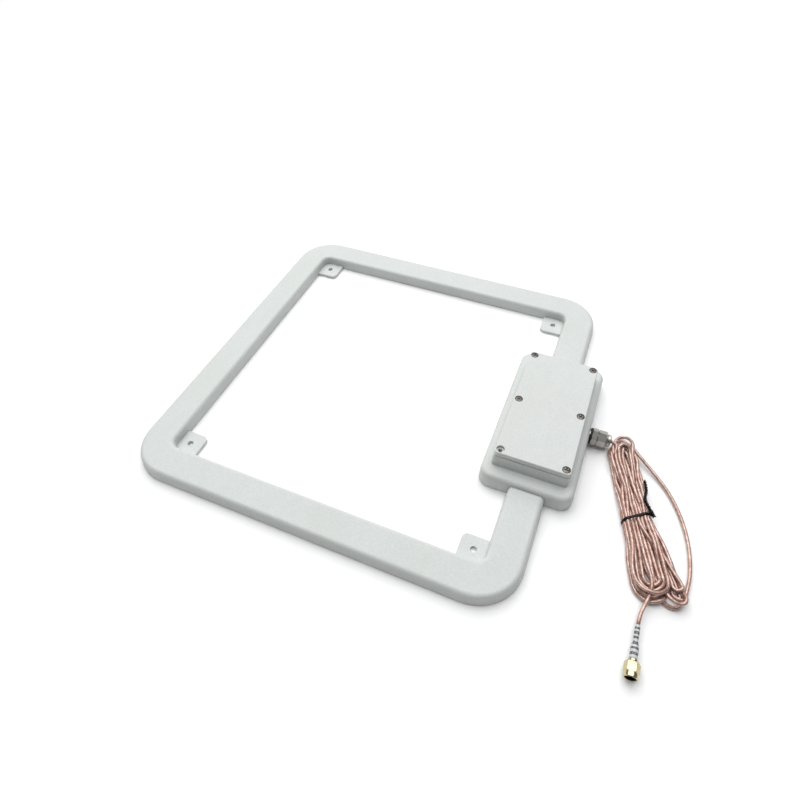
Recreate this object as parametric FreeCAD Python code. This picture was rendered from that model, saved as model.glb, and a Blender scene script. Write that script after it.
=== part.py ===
import FreeCAD, Part
import math
import os

V = FreeCAD.Vector
X_AXIS = V(1, 0, 0)
Y_AXIS = V(0, 1, 0)
Z_AXIS = V(0, 0, 1)

# ---------------------------------------------------------------- driving dimensions, in mm
# Loop frame: a flat hollow bar bent round an open window, lying on z = 0 about the origin.
FRAME_X = 300.0
FRAME_Y = 306.0
BAR_BASE = 27.0
BAR_HEIGHT = 9.5
OUTER_CORNER = 33.0
INNER_CORNER = 6.0
OUTER_DRAFT = 1.5
INNER_DRAFT = 0.8
OUTER_ROUND = 3.5
INNER_ROUND = 3.0
SHELL_WALL = 2.0
COVER_THICK = 2.0
FIT = 0.15
COVER_GAP = 0.3
BAR_END_Y = 58.0

# Fixing tabs in the corners of the window.
TAB_EDGE_X = 104.5
TAB_EDGE_Y = 107.5
TAB_THICK = 2.5
TAB_ROUND = 4.0
TAB_HOLE_X = 114.5
TAB_HOLE_Y = 117.2
TAB_HOLE_R = 2.25

# Junction box: a low base that the bar ends enter, a raised body and a lid.
BOX_X = 133.8
BASE_X = 68.0
BASE_Y = 132.8
BASE_HEIGHT = 13.2
BASE_CORNER = 9.0
BASE_ROUND = 3.5
BASE_WALL = 2.2
BASE_WELL_X = 34.0
BASE_WELL_Y = 78.0
BODY_X = 55.0
BODY_Y = 110.6
BODY_TOP_X = 54.4
BODY_TOP_Y = 108.4
BODY_TOP_Z = 22.1
BODY_CORNER = 2.6
BODY_WALL = 2.4
BODY_FLOOR = 2.0
GASKET_THICK = 0.5
LID_X = 54.0
LID_Y = 107.2
LID_TOP_Z = 26.4
LID_SKIN = 2.2
LID_ROUND = 0.6
LID_SCREW_X = 23.2
LID_SCREW_Y = 49.6
LID_HOLE_R = 1.6
LID_COUNTERBORE_R = 2.95
LID_COUNTERBORE_DEPTH = 2.0
LID_POST_R = 3.4

# Screws: shank, head and head height, with the pilot that the thread bites and the hole it clears.
CASE_SHANK_R = 1.4
CASE_HEAD_R = 2.6
CASE_PILOT_R = 1.45
CASE_CLEAR_R = 1.6
BASE_SCREW_LENGTH = 9.0
TRAY_SHANK_R = 1.25
TRAY_PILOT_R = 1.3
TRAY_CLEAR_R = 1.6
BODY_SCREW_LENGTH = 6.6
BODY_HEAD_R = 2.4
BODY_HEAD_HEIGHT = 1.7
LID_SCREW_LENGTH = 8.0
LID_HEAD_R = 2.7
LID_HEAD_HEIGHT = 1.9
BOARD_SHANK_R = 1.0
BOARD_PILOT_R = 1.05
BOARD_CLEAR_R = 1.35
BOARD_SCREW_LENGTH = 5.0
BOARD_HEAD_R = 2.0
BOARD_HEAD_HEIGHT = 1.4
TERMINAL_BOLT_R = 1.5
TERMINAL_HEAD_R = 3.1
TERMINAL_FLATS_R = 2.75
TERMINAL_HEAD_HEIGHT = 1.9
TERMINAL_NUT_HEIGHT = 2.4

# Board and the parts on it.
BOARD_X = 38.0
BOARD_Y = 90.0
BOARD_Z = 18.4
BOARD_THICK = 1.6
BOARD_SCREW_X = 15.5
BOARD_SCREW_Y = 41.0
TRIMMER_X = -7.0
TRIMMER_Y = (14.0, -6.0)
TRIMMER_R = 4.0
TRIMMER_HEIGHT = 2.0
ROTOR_R = 3.3
ROTOR_PIN_R = 1.0
ROTOR_CLEARANCE = 0.05

# Copper loop inside the bar.
STRIP_X = 131.0
STRIP_Y = 134.0
STRIP_WIDTH = 8.0
STRIP_THICK = 0.8
STRIP_Z = 3.6
STRIP_CORNER = 14.0
STRIP_LEG_Y = 30.0
STRIP_FOOT = 8.0

# Cable gland on the base's outer wall, and the coaxial cable.
GLAND_Y = 1.4
GLAND_Z = 7.0
GLAND_THREAD_R = 4.0
GLAND_BOSS = 8.0
GLAND_BOSS_HALF = 6.5
GLAND_WASHER = 1.5
GLAND_HEX = 4.0
GLAND_HEX_R = 6.6
NUT_GAP = 0.3
NUT_HEX = 6.2
NUT_HEX_R = 6.3
NUT_COLLAR = 3.6
NUT_COLLAR_R = 4.6
CABLE_D = 2.5
CABLE_TURN_X = 143.8

# Cable hank on the floor beside the box, and the coaxial connector at its end.
HANK_HEIGHT = 9.4
PLUG_X = 220.5
PLUG_Z = 4.7
SLEEVE_START_Y = -127.0
SLEEVE_END_Y = -147.4
FERRULE_START_Y = -139.0
PLUG_BACK_Y = -148.0
NUT_BACK_Y = -149.2
NUT_FRONT_Y = -158.6
PLUG_NUT_FLATS = 8.0
PLUG_NUT_TURN = 44.0

BOX_SIDE_X = BOX_X + BASE_X / 2
GLAND_END_X = BOX_SIDE_X + GLAND_WASHER + GLAND_HEX + NUT_GAP + NUT_HEX + NUT_COLLAR
FLOOR_Z = BASE_HEIGHT + BODY_FLOOR
GASKET_TOP_Z = BODY_TOP_Z + GASKET_THICK
BOARD_TOP_Z = BOARD_Z + BOARD_THICK
LID_SCREWS = [(sx * LID_SCREW_X, y) for sx in (-1, 1) for y in (LID_SCREW_Y, 0.0, -LID_SCREW_Y)]
EMPTY_LID_HOLE = (-LID_SCREW_X, -LID_SCREW_Y)


# ---------------------------------------------------------------- shape helpers
def rounded_wire(width, length, corner, z, cx=0.0, cy=0.0):
    """A rounded rectangle at height z."""
    hx, hy = width / 2 - corner, length / 2 - corner
    arcs = []
    for index, (sx, sy) in enumerate(((1, 1), (-1, 1), (-1, -1), (1, -1))):
        centre = V(cx + sx * hx, cy + sy * hy, z)
        points = []
        for step in range(3):
            angle = math.radians(90 * index + 45 * step)
            points.append(centre + V(corner * math.cos(angle), corner * math.sin(angle), 0))
        arcs.append(points)
    edges = []
    for index, points in enumerate(arcs):
        following = arcs[(index + 1) % 4][0]
        edges.append(Part.Arc(*points).toShape())
        edges.append(Part.LineSegment(points[2], following).toShape())
    return Part.Wire(edges)


def plate(width, length, corner, z0, z1, cx=0.0, cy=0.0):
    """An upright-sided slab with rounded corners."""
    face = Part.Face(rounded_wire(width, length, corner, z0, cx, cy))
    return face.extrude(V(0, 0, z1 - z0))


def drafted(low, high):
    """A slab whose sides lean between two (width, length, corner, z, cx, cy) outlines."""
    return Part.makeLoft([rounded_wire(*low), rounded_wire(*high)], True, True)


def block(x0, x1, y0, y1, z0, z1):
    return Part.makeBox(x1 - x0, y1 - y0, z1 - z0, V(x0, y0, z0))


def post(x, y, z0, z1, radius):
    return Part.makeCylinder(radius, z1 - z0, V(x, y, z0), Z_AXIS)


def rod(start, direction, length, radius):
    return Part.makeCylinder(radius, length, start, direction)


def hexagon_prism(centre, axis, length, radius, turn=0.0):
    """A hexagonal prism whose corners lie at the given radius."""
    side = Z_AXIS if abs(axis.z) < 0.5 else X_AXIS
    other = axis.cross(side)
    corners = []
    for index in range(7):
        angle = math.radians(60 * index + turn)
        corners.append(centre + side * (radius * math.cos(angle)) + other * (radius * math.sin(angle)))
    return Part.Face(Part.makePolygon(corners)).extrude(axis * length)


def chamfered_hexagon(centre, axis, length, radius, flats, turn=0.0):
    """A hexagon nut form, its end corners turned down as on a real nut."""
    prism = hexagon_prism(centre, axis, length, radius, turn)
    rise = (radius - flats) * 0.6
    profile = [(0.0, 0.0), (flats, 0.0), (radius, rise), (radius, length - rise)]
    profile += [(flats, length), (0.0, length)]
    return prism.common(turned(centre, axis, profile))


def turned(centre, axis, profile):
    """A solid of revolution from (radius, distance along the axis) points."""
    side = Z_AXIS if abs(axis.z) < 0.5 else X_AXIS
    points = [centre + side * radius + axis * along for radius, along in profile]
    face = Part.Face(Part.makePolygon(points + points[:1]))
    return face.revolve(centre, axis, 360)


def cut_all(shape, tools):
    """The shape with every tool taken out of it."""
    for tool in tools:
        shape = shape.cut(tool)
    return shape


def fuse_all(shapes):
    first = shapes[0]
    return first.multiFuse(shapes[1:]).removeSplitter() if len(shapes) > 1 else first


def edges_at(shape, z, inside=None):
    """Edges that lie wholly at height z; inside limits them by their reach from the origin."""
    chosen = []
    for edge in shape.Edges:
        box = edge.BoundBox
        if abs(box.ZMin - z) > 0.01 or abs(box.ZMax - z) > 0.01:
            continue
        reach = max(abs(box.XMin), abs(box.XMax)) < FRAME_X / 2 - BAR_BASE + 5
        reach = reach and max(abs(box.YMin), abs(box.YMax)) < FRAME_Y / 2 - BAR_BASE + 5
        if inside is None or reach == inside:
            chosen.append(edge)
    return chosen


def mirrored_fours(x, y):
    return [(sx * x, sy * y) for sx in (-1, 1) for sy in (-1, 1)]


def cross_recess(x, y, top, reach, depth):
    """The tool that cuts a cross recess into a screw head."""
    blade = reach * 0.26
    first = block(x - reach / 2, x + reach / 2, y - blade / 2, y + blade / 2, top - depth, top + 1)
    second = block(x - blade / 2, x + blade / 2, y - reach / 2, y + reach / 2, top - depth, top + 1)
    return first.fuse(second)


def pan_screw(x, y, seat, length, shank, head, head_height, turn=0.0):
    """A pan-head screw standing head up, its head's underside at the seat."""
    profile = [(0, -length), (shank, -length), (shank, 0), (head, 0), (head, head_height * 0.55)]
    profile += [(head * 0.86, head_height * 0.9), (head * 0.6, head_height), (0, head_height)]
    screw = turned(V(x, y, seat), Z_AXIS, profile)
    recess = cross_recess(x, y, seat + head_height, head * 1.15, head_height * 0.55)
    recess.rotate(V(x, y, 0), Z_AXIS, turn)
    return screw.cut(recess)


def countersunk_screw(x, y, length):
    """A countersunk screw driven upward, its flat head just inside z = 0."""
    shank, head = CASE_SHANK_R, CASE_HEAD_R
    profile = [(0, 0.1), (head, 0.1), (shank, 0.1 + head - shank), (shank, length), (0, length)]
    screw = turned(V(x, y, 0), Z_AXIS, profile)
    recess = cross_recess(x, y, 0.9, head * 1.1, 1.8)
    return screw.cut(recess)


def countersink(x, y):
    """The tool for a countersunk hole in a bottom plate."""
    shank, head = CASE_CLEAR_R, CASE_HEAD_R + 0.1
    depth = COVER_THICK + 1
    profile = [(0, -0.5), (head + 0.6, -0.5), (shank, head - shank + 0.1), (shank, depth), (0, depth)]
    return turned(V(x, y, 0), Z_AXIS, profile)


# ---------------------------------------------------------------- loop frame
FRAME_SCREWS = [(-142.5, 60), (-142.5, -60), (142.5, 96), (142.5, -96)]
FRAME_SCREWS += [(sx * 70.0, sy * 145.5) for sx in (-1, 1) for sy in (-1, 1)]


def bar_form(grow=0.0):
    """The outer form of the whole bar, filled in, optionally grown for a clearance cut."""
    outer_low = (FRAME_X + 2 * grow, FRAME_Y + 2 * grow, OUTER_CORNER + grow, 0.0)
    lean = 2 * OUTER_DRAFT - 2 * grow
    outer_high = (FRAME_X - lean, FRAME_Y - lean, OUTER_CORNER - OUTER_DRAFT + grow, BAR_HEIGHT + grow)
    window_x = FRAME_X - 2 * BAR_BASE - 2 * grow
    window_y = FRAME_Y - 2 * BAR_BASE - 2 * grow
    flare = 2 * INNER_DRAFT
    inner_low = (window_x, window_y, INNER_CORNER - grow, 0.0)
    inner_high = (window_x + flare, window_y + flare, INNER_CORNER + INNER_DRAFT - grow, BAR_HEIGHT + grow)
    ring = drafted(outer_low, outer_high).cut(drafted(inner_low, inner_high))
    top = BAR_HEIGHT + grow
    ring = ring.makeFillet(OUTER_ROUND, edges_at(ring, top, inside=False))
    return ring.makeFillet(INNER_ROUND, edges_at(ring, top, inside=True))


def bar_gap():
    """The stretch of bar that the junction box stands in place of."""
    return block(90, 180, -BAR_END_Y, BAR_END_Y, -5, 20)


def tab(sx, sy, grow=0.0):
    """One fixing tab, reaching under the shell's inner wall."""
    x0, x1 = TAB_EDGE_X - grow, FRAME_X / 2 - BAR_BASE + SHELL_WALL + 3
    y0, y1 = TAB_EDGE_Y - grow, FRAME_Y / 2 - BAR_BASE + SHELL_WALL + 3
    shape = block(x0, x1, y0, y1, 0, TAB_THICK + grow)
    edge = [e for e in shape.Edges if abs(e.BoundBox.XMax - x0) < 0.01 and abs(e.BoundBox.YMax - y0) < 0.01]
    shape = shape.makeFillet(TAB_ROUND + grow, edge)
    if sx < 0:
        shape = shape.mirror(V(0, 0, 0), X_AXIS)
    if sy < 0:
        shape = shape.mirror(V(0, 0, 0), Y_AXIS)
    return shape


def frame_top_shell():
    inset = 2 * SHELL_WALL
    ceiling = BAR_HEIGHT - SHELL_WALL
    hollow_out = drafted((FRAME_X - inset + 0.4, FRAME_Y - inset + 0.4, OUTER_CORNER - SHELL_WALL, -1.0),
                         (FRAME_X - inset - 2, FRAME_Y - inset - 2, OUTER_CORNER - SHELL_WALL - 1, ceiling))
    window_x = FRAME_X - 2 * BAR_BASE + inset
    window_y = FRAME_Y - 2 * BAR_BASE + inset
    hollow_in = drafted((window_x, window_y, INNER_CORNER + SHELL_WALL, -1.5),
                        (window_x + 1.4, window_y + 1.4, INNER_CORNER + SHELL_WALL + 0.7, ceiling + 0.5))
    shell = bar_form().cut(hollow_out.cut(hollow_in))
    bosses = [post(x, y, COVER_THICK + FIT, ceiling + 0.5, 3.0) for x, y in FRAME_SCREWS]
    shell = fuse_all([shell] + bosses)
    pilots = [post(x, y, 0, ceiling - 0.6, CASE_PILOT_R) for x, y in FRAME_SCREWS]
    notches = [tab(sx, sy, FIT) for sx, sy in mirrored_fours(1, 1)]
    return cut_all(shell, pilots + notches + [bar_gap()])


def frame_bottom_cover():
    inset = 2 * (SHELL_WALL + COVER_GAP)
    cover = plate(FRAME_X - inset, FRAME_Y - inset, OUTER_CORNER - SHELL_WALL - COVER_GAP, 0, COVER_THICK)
    window_x = FRAME_X - 2 * BAR_BASE + inset
    window_y = FRAME_Y - 2 * BAR_BASE + inset
    cover = cover.cut(plate(window_x, window_y, INNER_CORNER + SHELL_WALL + COVER_GAP, -1, COVER_THICK + 1))
    cover = fuse_all([cover] + [tab(sx, sy) for sx, sy in mirrored_fours(1, 1)])
    holes = [post(x, y, -1, TAB_THICK + 1, TAB_HOLE_R) for x, y in mirrored_fours(TAB_HOLE_X, TAB_HOLE_Y)]
    seats = [countersink(x, y) for x, y in FRAME_SCREWS]
    return cut_all(cover, holes + seats + [bar_gap()])


def frame_screws():
    length = BAR_HEIGHT - SHELL_WALL - 1.0
    return Part.Compound([countersunk_screw(x, y, length) for x, y in FRAME_SCREWS])


# ---------------------------------------------------------------- copper loop
def copper_loop():
    """A flat copper ring, open inside the box, with a leg up to the board at each end."""
    half = STRIP_WIDTH / 2
    top = STRIP_Z + STRIP_THICK
    outer = plate(2 * (STRIP_X + half), 2 * (STRIP_Y + half), STRIP_CORNER + half, STRIP_Z, top)
    inner = plate(2 * (STRIP_X - half), 2 * (STRIP_Y - half), STRIP_CORNER - half, STRIP_Z - 1, top + 1)
    ring = outer.cut(inner).cut(block(90, 180, -STRIP_LEG_Y, STRIP_LEG_Y, 0, 10))
    pieces = [ring]
    foot_top = BOARD_Z
    foot_low = BOARD_Z - STRIP_THICK
    for side in (-1, 1):
        near, far = sorted((side * STRIP_LEG_Y, side * (STRIP_LEG_Y + STRIP_THICK)))
        pieces.append(block(STRIP_X - half, STRIP_X + half, near, far, STRIP_Z, foot_top))
        near, far = sorted((side * (STRIP_LEG_Y - STRIP_FOOT), side * (STRIP_LEG_Y + STRIP_THICK)))
        pieces.append(block(STRIP_X - half, STRIP_X + half, near, far, foot_low, foot_top))
    bolt_r = TERMINAL_BOLT_R + 0.1
    holes = [post(STRIP_X, side * terminal_y(), foot_low - 1, foot_top + 1, bolt_r) for side in (-1, 1)]
    return cut_all(fuse_all(pieces), holes)


def terminal_y():
    return STRIP_LEG_Y - STRIP_FOOT / 2


def strip_clips():
    """Plastic saddles that hold the copper clear of the cover."""
    across, along, top = 10.0, 7.0, 6.2
    spots = [(-STRIP_X, y, False) for y in (-85, 0, 85)]
    spots += [(x, sy * STRIP_Y, True) for x in (-75, 75) for sy in (-1, 1)]
    spots += [(STRIP_X, sy * 80.0, False) for sy in (-1, 1)]
    slot = STRIP_WIDTH / 2 + 0.1
    low, high = STRIP_Z - 0.05, STRIP_Z + STRIP_THICK + 0.05
    clips = []
    for x, y, turned_round in spots:
        hx, hy = (along / 2, across / 2) if turned_round else (across / 2, along / 2)
        sx, sy = (along, slot) if turned_round else (slot, along)
        clip = block(x - hx, x + hx, y - hy, y + hy, COVER_THICK, top)
        clips.append(clip.cut(block(x - sx, x + sx, y - sy, y + sy, low, high)))
    return Part.Compound(clips)


# ---------------------------------------------------------------- junction box
BASE_SCREWS = [(BOX_X + x, y) for x, y in mirrored_fours(27.0, 55.0)]
BODY_SCREWS = [(BOX_X + x, y) for x, y in mirrored_fours(21.5, 44.0)]
BOARD_SCREWS = [(BOX_X + x, y) for x, y in mirrored_fours(BOARD_SCREW_X, BOARD_SCREW_Y)]


def box_base():
    """The low housing that the bar ends run into, open below and under the body."""
    low = (BASE_X, BASE_Y, BASE_CORNER, 0.0, BOX_X)
    high = (BASE_X - 1.0, BASE_Y - 1.0, BASE_CORNER - 0.5, BASE_HEIGHT, BOX_X)
    base = drafted(low, high)
    base = base.makeFillet(BASE_ROUND, edges_at(base, BASE_HEIGHT))
    ceiling = BASE_HEIGHT - BASE_WALL
    inset = 2 * BASE_WALL
    hollow = plate(BASE_X - inset, BASE_Y - inset, BASE_CORNER - BASE_WALL, -1, ceiling, BOX_X)
    well = plate(BASE_WELL_X, BASE_WELL_Y, 3, 0, BASE_HEIGHT + 1, BOX_X)
    base = base.cut(hollow).cut(well)
    wall_x = BOX_SIDE_X - BASE_WALL
    near_y, far_y = GLAND_Y - GLAND_BOSS_HALF, GLAND_Y + GLAND_BOSS_HALF
    floor = COVER_THICK + FIT
    boss = block(wall_x - GLAND_BOSS + BASE_WALL, wall_x + 0.5, near_y, far_y, floor, ceiling + 0.5)
    bosses = [post(x, y, floor, ceiling + 0.5, 3.2) for x, y in BASE_SCREWS]
    bosses += [post(x, y, ceiling - 4, ceiling + 0.5, 3.0) for x, y in BODY_SCREWS]
    base = fuse_all([base, boss] + bosses)
    pilots = [post(x, y, 0, ceiling - 1, CASE_PILOT_R) for x, y in BASE_SCREWS]
    pilots += [post(x, y, ceiling - 3.5, BASE_HEIGHT + 1, TRAY_PILOT_R) for x, y in BODY_SCREWS]
    bore = rod(V(wall_x - GLAND_BOSS, GLAND_Y, GLAND_Z), X_AXIS, 20, GLAND_THREAD_R + 0.05)
    sockets = bar_form(FIT).common(block(90, 180, -90, 90, -1, 20)).cut(bar_gap())
    return cut_all(base, pilots + [bore, sockets])


def base_plate():
    """The flat plate that closes the base from below, between the bar ends."""
    inset = 2 * (BASE_WALL + FIT)
    shape = plate(BASE_X - inset, BASE_Y - inset, BASE_CORNER - BASE_WALL - FIT, 0, COVER_THICK, BOX_X)
    outer = FRAME_X / 2 + 0.4
    inner = FRAME_X / 2 - BAR_BASE - 0.4
    ends = []
    for side in (-1, 1):
        near, far = sorted((side * (BAR_END_Y - 0.2), side * BASE_Y))
        ends.append(block(inner, outer, near, far, -1, BAR_HEIGHT))
    seats = [countersink(x, y) for x, y in BASE_SCREWS]
    return cut_all(shape, ends + seats)


def base_screws():
    return Part.Compound([countersunk_screw(x, y, BASE_SCREW_LENGTH) for x, y in BASE_SCREWS])


def box_body():
    """The raised tray: a floor, four leaning walls and the lid's screw posts."""
    low = (BODY_X, BODY_Y, BODY_CORNER, BASE_HEIGHT, BOX_X)
    high = (BODY_TOP_X, BODY_TOP_Y, BODY_CORNER, BODY_TOP_Z, BOX_X)
    body = drafted(low, high)
    inset = 2 * BODY_WALL
    body = body.cut(plate(BODY_TOP_X - inset, BODY_TOP_Y - inset, 1.2, FLOOR_Z, BODY_TOP_Z + 1, BOX_X))
    posts = [post(BOX_X + x, y, FLOOR_Z - 0.5, BODY_TOP_Z, LID_POST_R) for x, y in LID_SCREWS]
    posts += [post(x, y, FLOOR_Z - 0.5, BOARD_Z, 2.6) for x, y in BOARD_SCREWS]
    body = fuse_all([body] + posts)
    tools = [post(BOX_X + x, y, FLOOR_Z + 0.5, BODY_TOP_Z + 1, TRAY_PILOT_R) for x, y in LID_SCREWS]
    tools += [post(x, y, FLOOR_Z - 1, BOARD_Z + 1, BOARD_PILOT_R) for x, y in BOARD_SCREWS]
    tools += [post(x, y, BASE_HEIGHT - 1, FLOOR_Z + 1, TRAY_CLEAR_R) for x, y in BODY_SCREWS]
    tools.append(post(CABLE_TURN_X, GLAND_Y, BASE_HEIGHT - 1, FLOOR_Z + 1, 2.0))
    reach = STRIP_WIDTH / 2 + 0.6
    for side in (-1, 1):
        near, far = sorted((side * (STRIP_LEG_Y - 0.6), side * (STRIP_LEG_Y + STRIP_THICK + 0.6)))
        tools.append(block(STRIP_X - reach, STRIP_X + reach, near, far, BASE_HEIGHT - 1, FLOOR_Z + 1))
    return cut_all(body, tools)


def body_screws():
    size = (BODY_SCREW_LENGTH, TRAY_SHANK_R, BODY_HEAD_R, BODY_HEAD_HEIGHT)
    return Part.Compound([pan_screw(x, y, FLOOR_Z, *size) for x, y in BODY_SCREWS])


def lid_gasket():
    """A flat silicone gasket, set back from the rim, with an eye round each screw."""
    outline = plate(LID_X - 1.6, LID_Y - 1.6, BODY_CORNER - 0.8, BODY_TOP_Z, GASKET_TOP_Z, BOX_X)
    inset = 2 * BODY_WALL
    middle = plate(BODY_TOP_X - inset, BODY_TOP_Y - inset, 1.2, BODY_TOP_Z - 1, GASKET_TOP_Z + 1, BOX_X)
    eyes = [post(BOX_X + x, y, BODY_TOP_Z, GASKET_TOP_Z, LID_POST_R) for x, y in LID_SCREWS]
    gasket = fuse_all([outline.cut(middle)] + [eye.common(outline) for eye in eyes])
    low, high = BODY_TOP_Z - 1, GASKET_TOP_Z + 1
    return cut_all(gasket, [post(BOX_X + x, y, low, high, LID_HOLE_R + 0.1) for x, y in LID_SCREWS])


def box_lid():
    lid = drafted((LID_X, LID_Y, BODY_CORNER, GASKET_TOP_Z, BOX_X),
                  (LID_X - 0.4, LID_Y - 0.4, BODY_CORNER, LID_TOP_Z, BOX_X))
    lid = lid.makeFillet(LID_ROUND, edges_at(lid, LID_TOP_Z))
    inset = 2 * BODY_WALL + 0.6
    hollow = plate(LID_X - inset, LID_Y - inset, 1.2, GASKET_TOP_Z - 1, LID_TOP_Z - LID_SKIN, BOX_X)
    hollow = cut_all(hollow, [post(BOX_X + x, y, 0, 50, LID_POST_R + 0.2) for x, y in LID_SCREWS])
    seat = LID_TOP_Z - LID_COUNTERBORE_DEPTH
    over = LID_TOP_Z + 1
    profile = [(0, BODY_TOP_Z), (LID_HOLE_R, BODY_TOP_Z), (LID_HOLE_R, seat), (LID_COUNTERBORE_R, seat)]
    profile += [(LID_COUNTERBORE_R, over), (0, over)]
    holes = [turned(V(BOX_X + x, y, 0), Z_AXIS, profile) for x, y in LID_SCREWS]
    return cut_all(lid, [hollow] + holes)


def lid_screws():
    """The five lid screws; the sixth hole is empty."""
    seat = LID_TOP_Z - LID_COUNTERBORE_DEPTH
    size = (LID_SCREW_LENGTH, TRAY_SHANK_R, LID_HEAD_R, LID_HEAD_HEIGHT)
    screws = []
    for index, (x, y) in enumerate(LID_SCREWS):
        if (x, y) != EMPTY_LID_HOLE:
            screws.append(pan_screw(BOX_X + x, y, seat, *size, 17.0 * index))
    return Part.Compound(screws)


# ---------------------------------------------------------------- tuning board
def tuning_board():
    board = plate(BOARD_X, BOARD_Y, 1.5, BOARD_Z, BOARD_TOP_Z, BOX_X)
    holes = [post(x, y, 0, 50, BOARD_CLEAR_R) for x, y in BOARD_SCREWS]
    holes += [post(STRIP_X, side * terminal_y(), 0, 50, TERMINAL_BOLT_R + 0.1) for side in (-1, 1)]
    return cut_all(board, holes)


def board_screws():
    size = (BOARD_SCREW_LENGTH, BOARD_SHANK_R, BOARD_HEAD_R, BOARD_HEAD_HEIGHT)
    return Part.Compound([pan_screw(x, y, BOARD_TOP_Z, *size) for x, y in BOARD_SCREWS])


def terminal_bolts():
    """Bolts that clamp the copper feet under the board."""
    bolts = []
    for side in (-1, 1):
        centre = V(STRIP_X, side * terminal_y(), BOARD_Z - STRIP_THICK - TERMINAL_HEAD_HEIGHT)
        head = hexagon_prism(centre, Z_AXIS, TERMINAL_HEAD_HEIGHT, TERMINAL_HEAD_R)
        shank = post(centre.x, centre.y, centre.z, BOARD_TOP_Z + 3.2, TERMINAL_BOLT_R)
        bolts.append(head.fuse(shank).removeSplitter())
    return Part.Compound(bolts)


def terminal_nuts():
    nuts = []
    for side in (-1, 1):
        centre = V(STRIP_X, side * terminal_y(), BOARD_TOP_Z)
        nut = chamfered_hexagon(centre, Z_AXIS, TERMINAL_NUT_HEIGHT, TERMINAL_HEAD_R, TERMINAL_FLATS_R)
        nuts.append(nut.cut(post(centre.x, centre.y, 0, 50, TERMINAL_BOLT_R + 0.02)))
    return Part.Compound(nuts)


def trimmer_stator(y):
    """The ceramic base of a trimmer capacitor, with its solder lugs."""
    centre = V(BOX_X + TRIMMER_X, y, BOARD_TOP_Z)
    profile = [(0, 0), (TRIMMER_R, 0), (TRIMMER_R, TRIMMER_HEIGHT - 0.3), (TRIMMER_R - 0.3, TRIMMER_HEIGHT)]
    body = turned(centre, Z_AXIS, profile + [(0, TRIMMER_HEIGHT)])
    lugs = []
    for side in (-1, 1):
        lug_x = centre.x + side * 4.6
        lugs.append(block(lug_x - 1.2, lug_x + 1.2, y - 1, y + 1, centre.z, centre.z + 0.8))
    bore = post(centre.x, y, BOARD_TOP_Z + 0.4, 50, ROTOR_PIN_R + ROTOR_CLEARANCE)
    return fuse_all([body] + lugs).cut(bore)


def trimmer_rotor(y):
    """The slotted metal rotor that turns on the stator."""
    centre = V(BOX_X + TRIMMER_X, y, BOARD_TOP_Z + TRIMMER_HEIGHT + 0.1)
    profile = [(0, -1.4), (ROTOR_PIN_R, -1.4), (ROTOR_PIN_R, 0), (ROTOR_R, 0), (ROTOR_R, 0.8)]
    profile += [(ROTOR_R * 0.55, 0.8), (ROTOR_R * 0.55, 1.5), (0, 1.5)]
    rotor = turned(centre, Z_AXIS, profile)
    rim_y = y + ROTOR_R
    slot = block(centre.x - 4, centre.x + 4, y - 0.35, y + 0.35, centre.z + 0.8, centre.z + 3)
    notch = block(centre.x - 0.5, centre.x + 0.5, rim_y - 0.8, rim_y + 1, centre.z - 1, centre.z + 3)
    return rotor.cut(slot).cut(notch)


BALUN = V(BOX_X + 8.0, -18.0, BOARD_TOP_Z + 0.7)
BALUN_OUT_R, BALUN_IN_R, BALUN_HEIGHT, WIRE_R = 5.0, 2.6, 2.4, 0.3


def balun_core():
    ring = Part.makeCylinder(BALUN_OUT_R, BALUN_HEIGHT, BALUN, Z_AXIS)
    return ring.cut(Part.makeCylinder(BALUN_IN_R, BALUN_HEIGHT, BALUN, Z_AXIS))


def balun_winding():
    """Turns of enamelled wire spread round the ring core."""
    reach = WIRE_R + 0.05
    radial = (BALUN_OUT_R - BALUN_IN_R) / 2 + reach
    upright = BALUN_HEIGHT / 2 + reach
    middle = V(BALUN.x + (BALUN_OUT_R + BALUN_IN_R) / 2, BALUN.y, BALUN.z + BALUN_HEIGHT / 2)
    corners = [(radial, upright), (-radial, upright), (-radial, -upright), (radial, -upright)]
    segments = []
    for index, (x, z) in enumerate(corners):
        next_x, next_z = corners[(index + 1) % 4]
        start = middle + V(x, 0, z)
        step = V(next_x - x, 0, next_z - z)
        segments.append(rod(start, step, step.Length, WIRE_R))
        segments.append(Part.makeSphere(WIRE_R, start))
    turn = fuse_all(segments)
    turns = []
    for index in range(9):
        copy = turn.copy()
        copy.rotate(BALUN, Z_AXIS, 40 * index)
        turns.append(copy)
    return Part.Compound(turns)


def fixed_capacitors():
    """Moulded block capacitors standing on the board."""
    spots = [(BOX_X + 9, 20), (BOX_X + 9, 12), (BOX_X + 9, 4)]
    width, length, top = 7.0, 4.6, BOARD_TOP_Z + 2.8
    return Part.Compound([plate(width, length, 0.8, BOARD_TOP_Z, top, x, y) for x, y in spots])


def damping_resistor():
    """A round resistor lying along the board, with its bent leads."""
    x, y, radius = BOX_X - 7, -35.0, 1.5
    z = BOARD_TOP_Z + radius + 0.1
    waist, shoulder = radius * 0.9, radius * 0.8
    profile = [(0, 0), (shoulder, 0), (radius, 0.6), (waist, 1.8), (waist, 7.2), (radius, 8.4)]
    body = turned(V(x - 4.5, y, z), X_AXIS, profile + [(shoulder, 9.0), (0, 9.0)])
    pieces = [body]
    for side in (-1, 1):
        pieces.append(rod(V(x + side * 4.2, y, z), X_AXIS * side, 2.4, 0.35))
        pieces.append(Part.makeSphere(0.35, V(x + side * 6.6, y, z)))
        pieces.append(post(x + side * 6.6, y, BOARD_TOP_Z, z, 0.35))
    return fuse_all(pieces)


# ---------------------------------------------------------------- cable gland
def gland_point(offset):
    return V(BOX_SIDE_X + offset, GLAND_Y, GLAND_Z)


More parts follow.
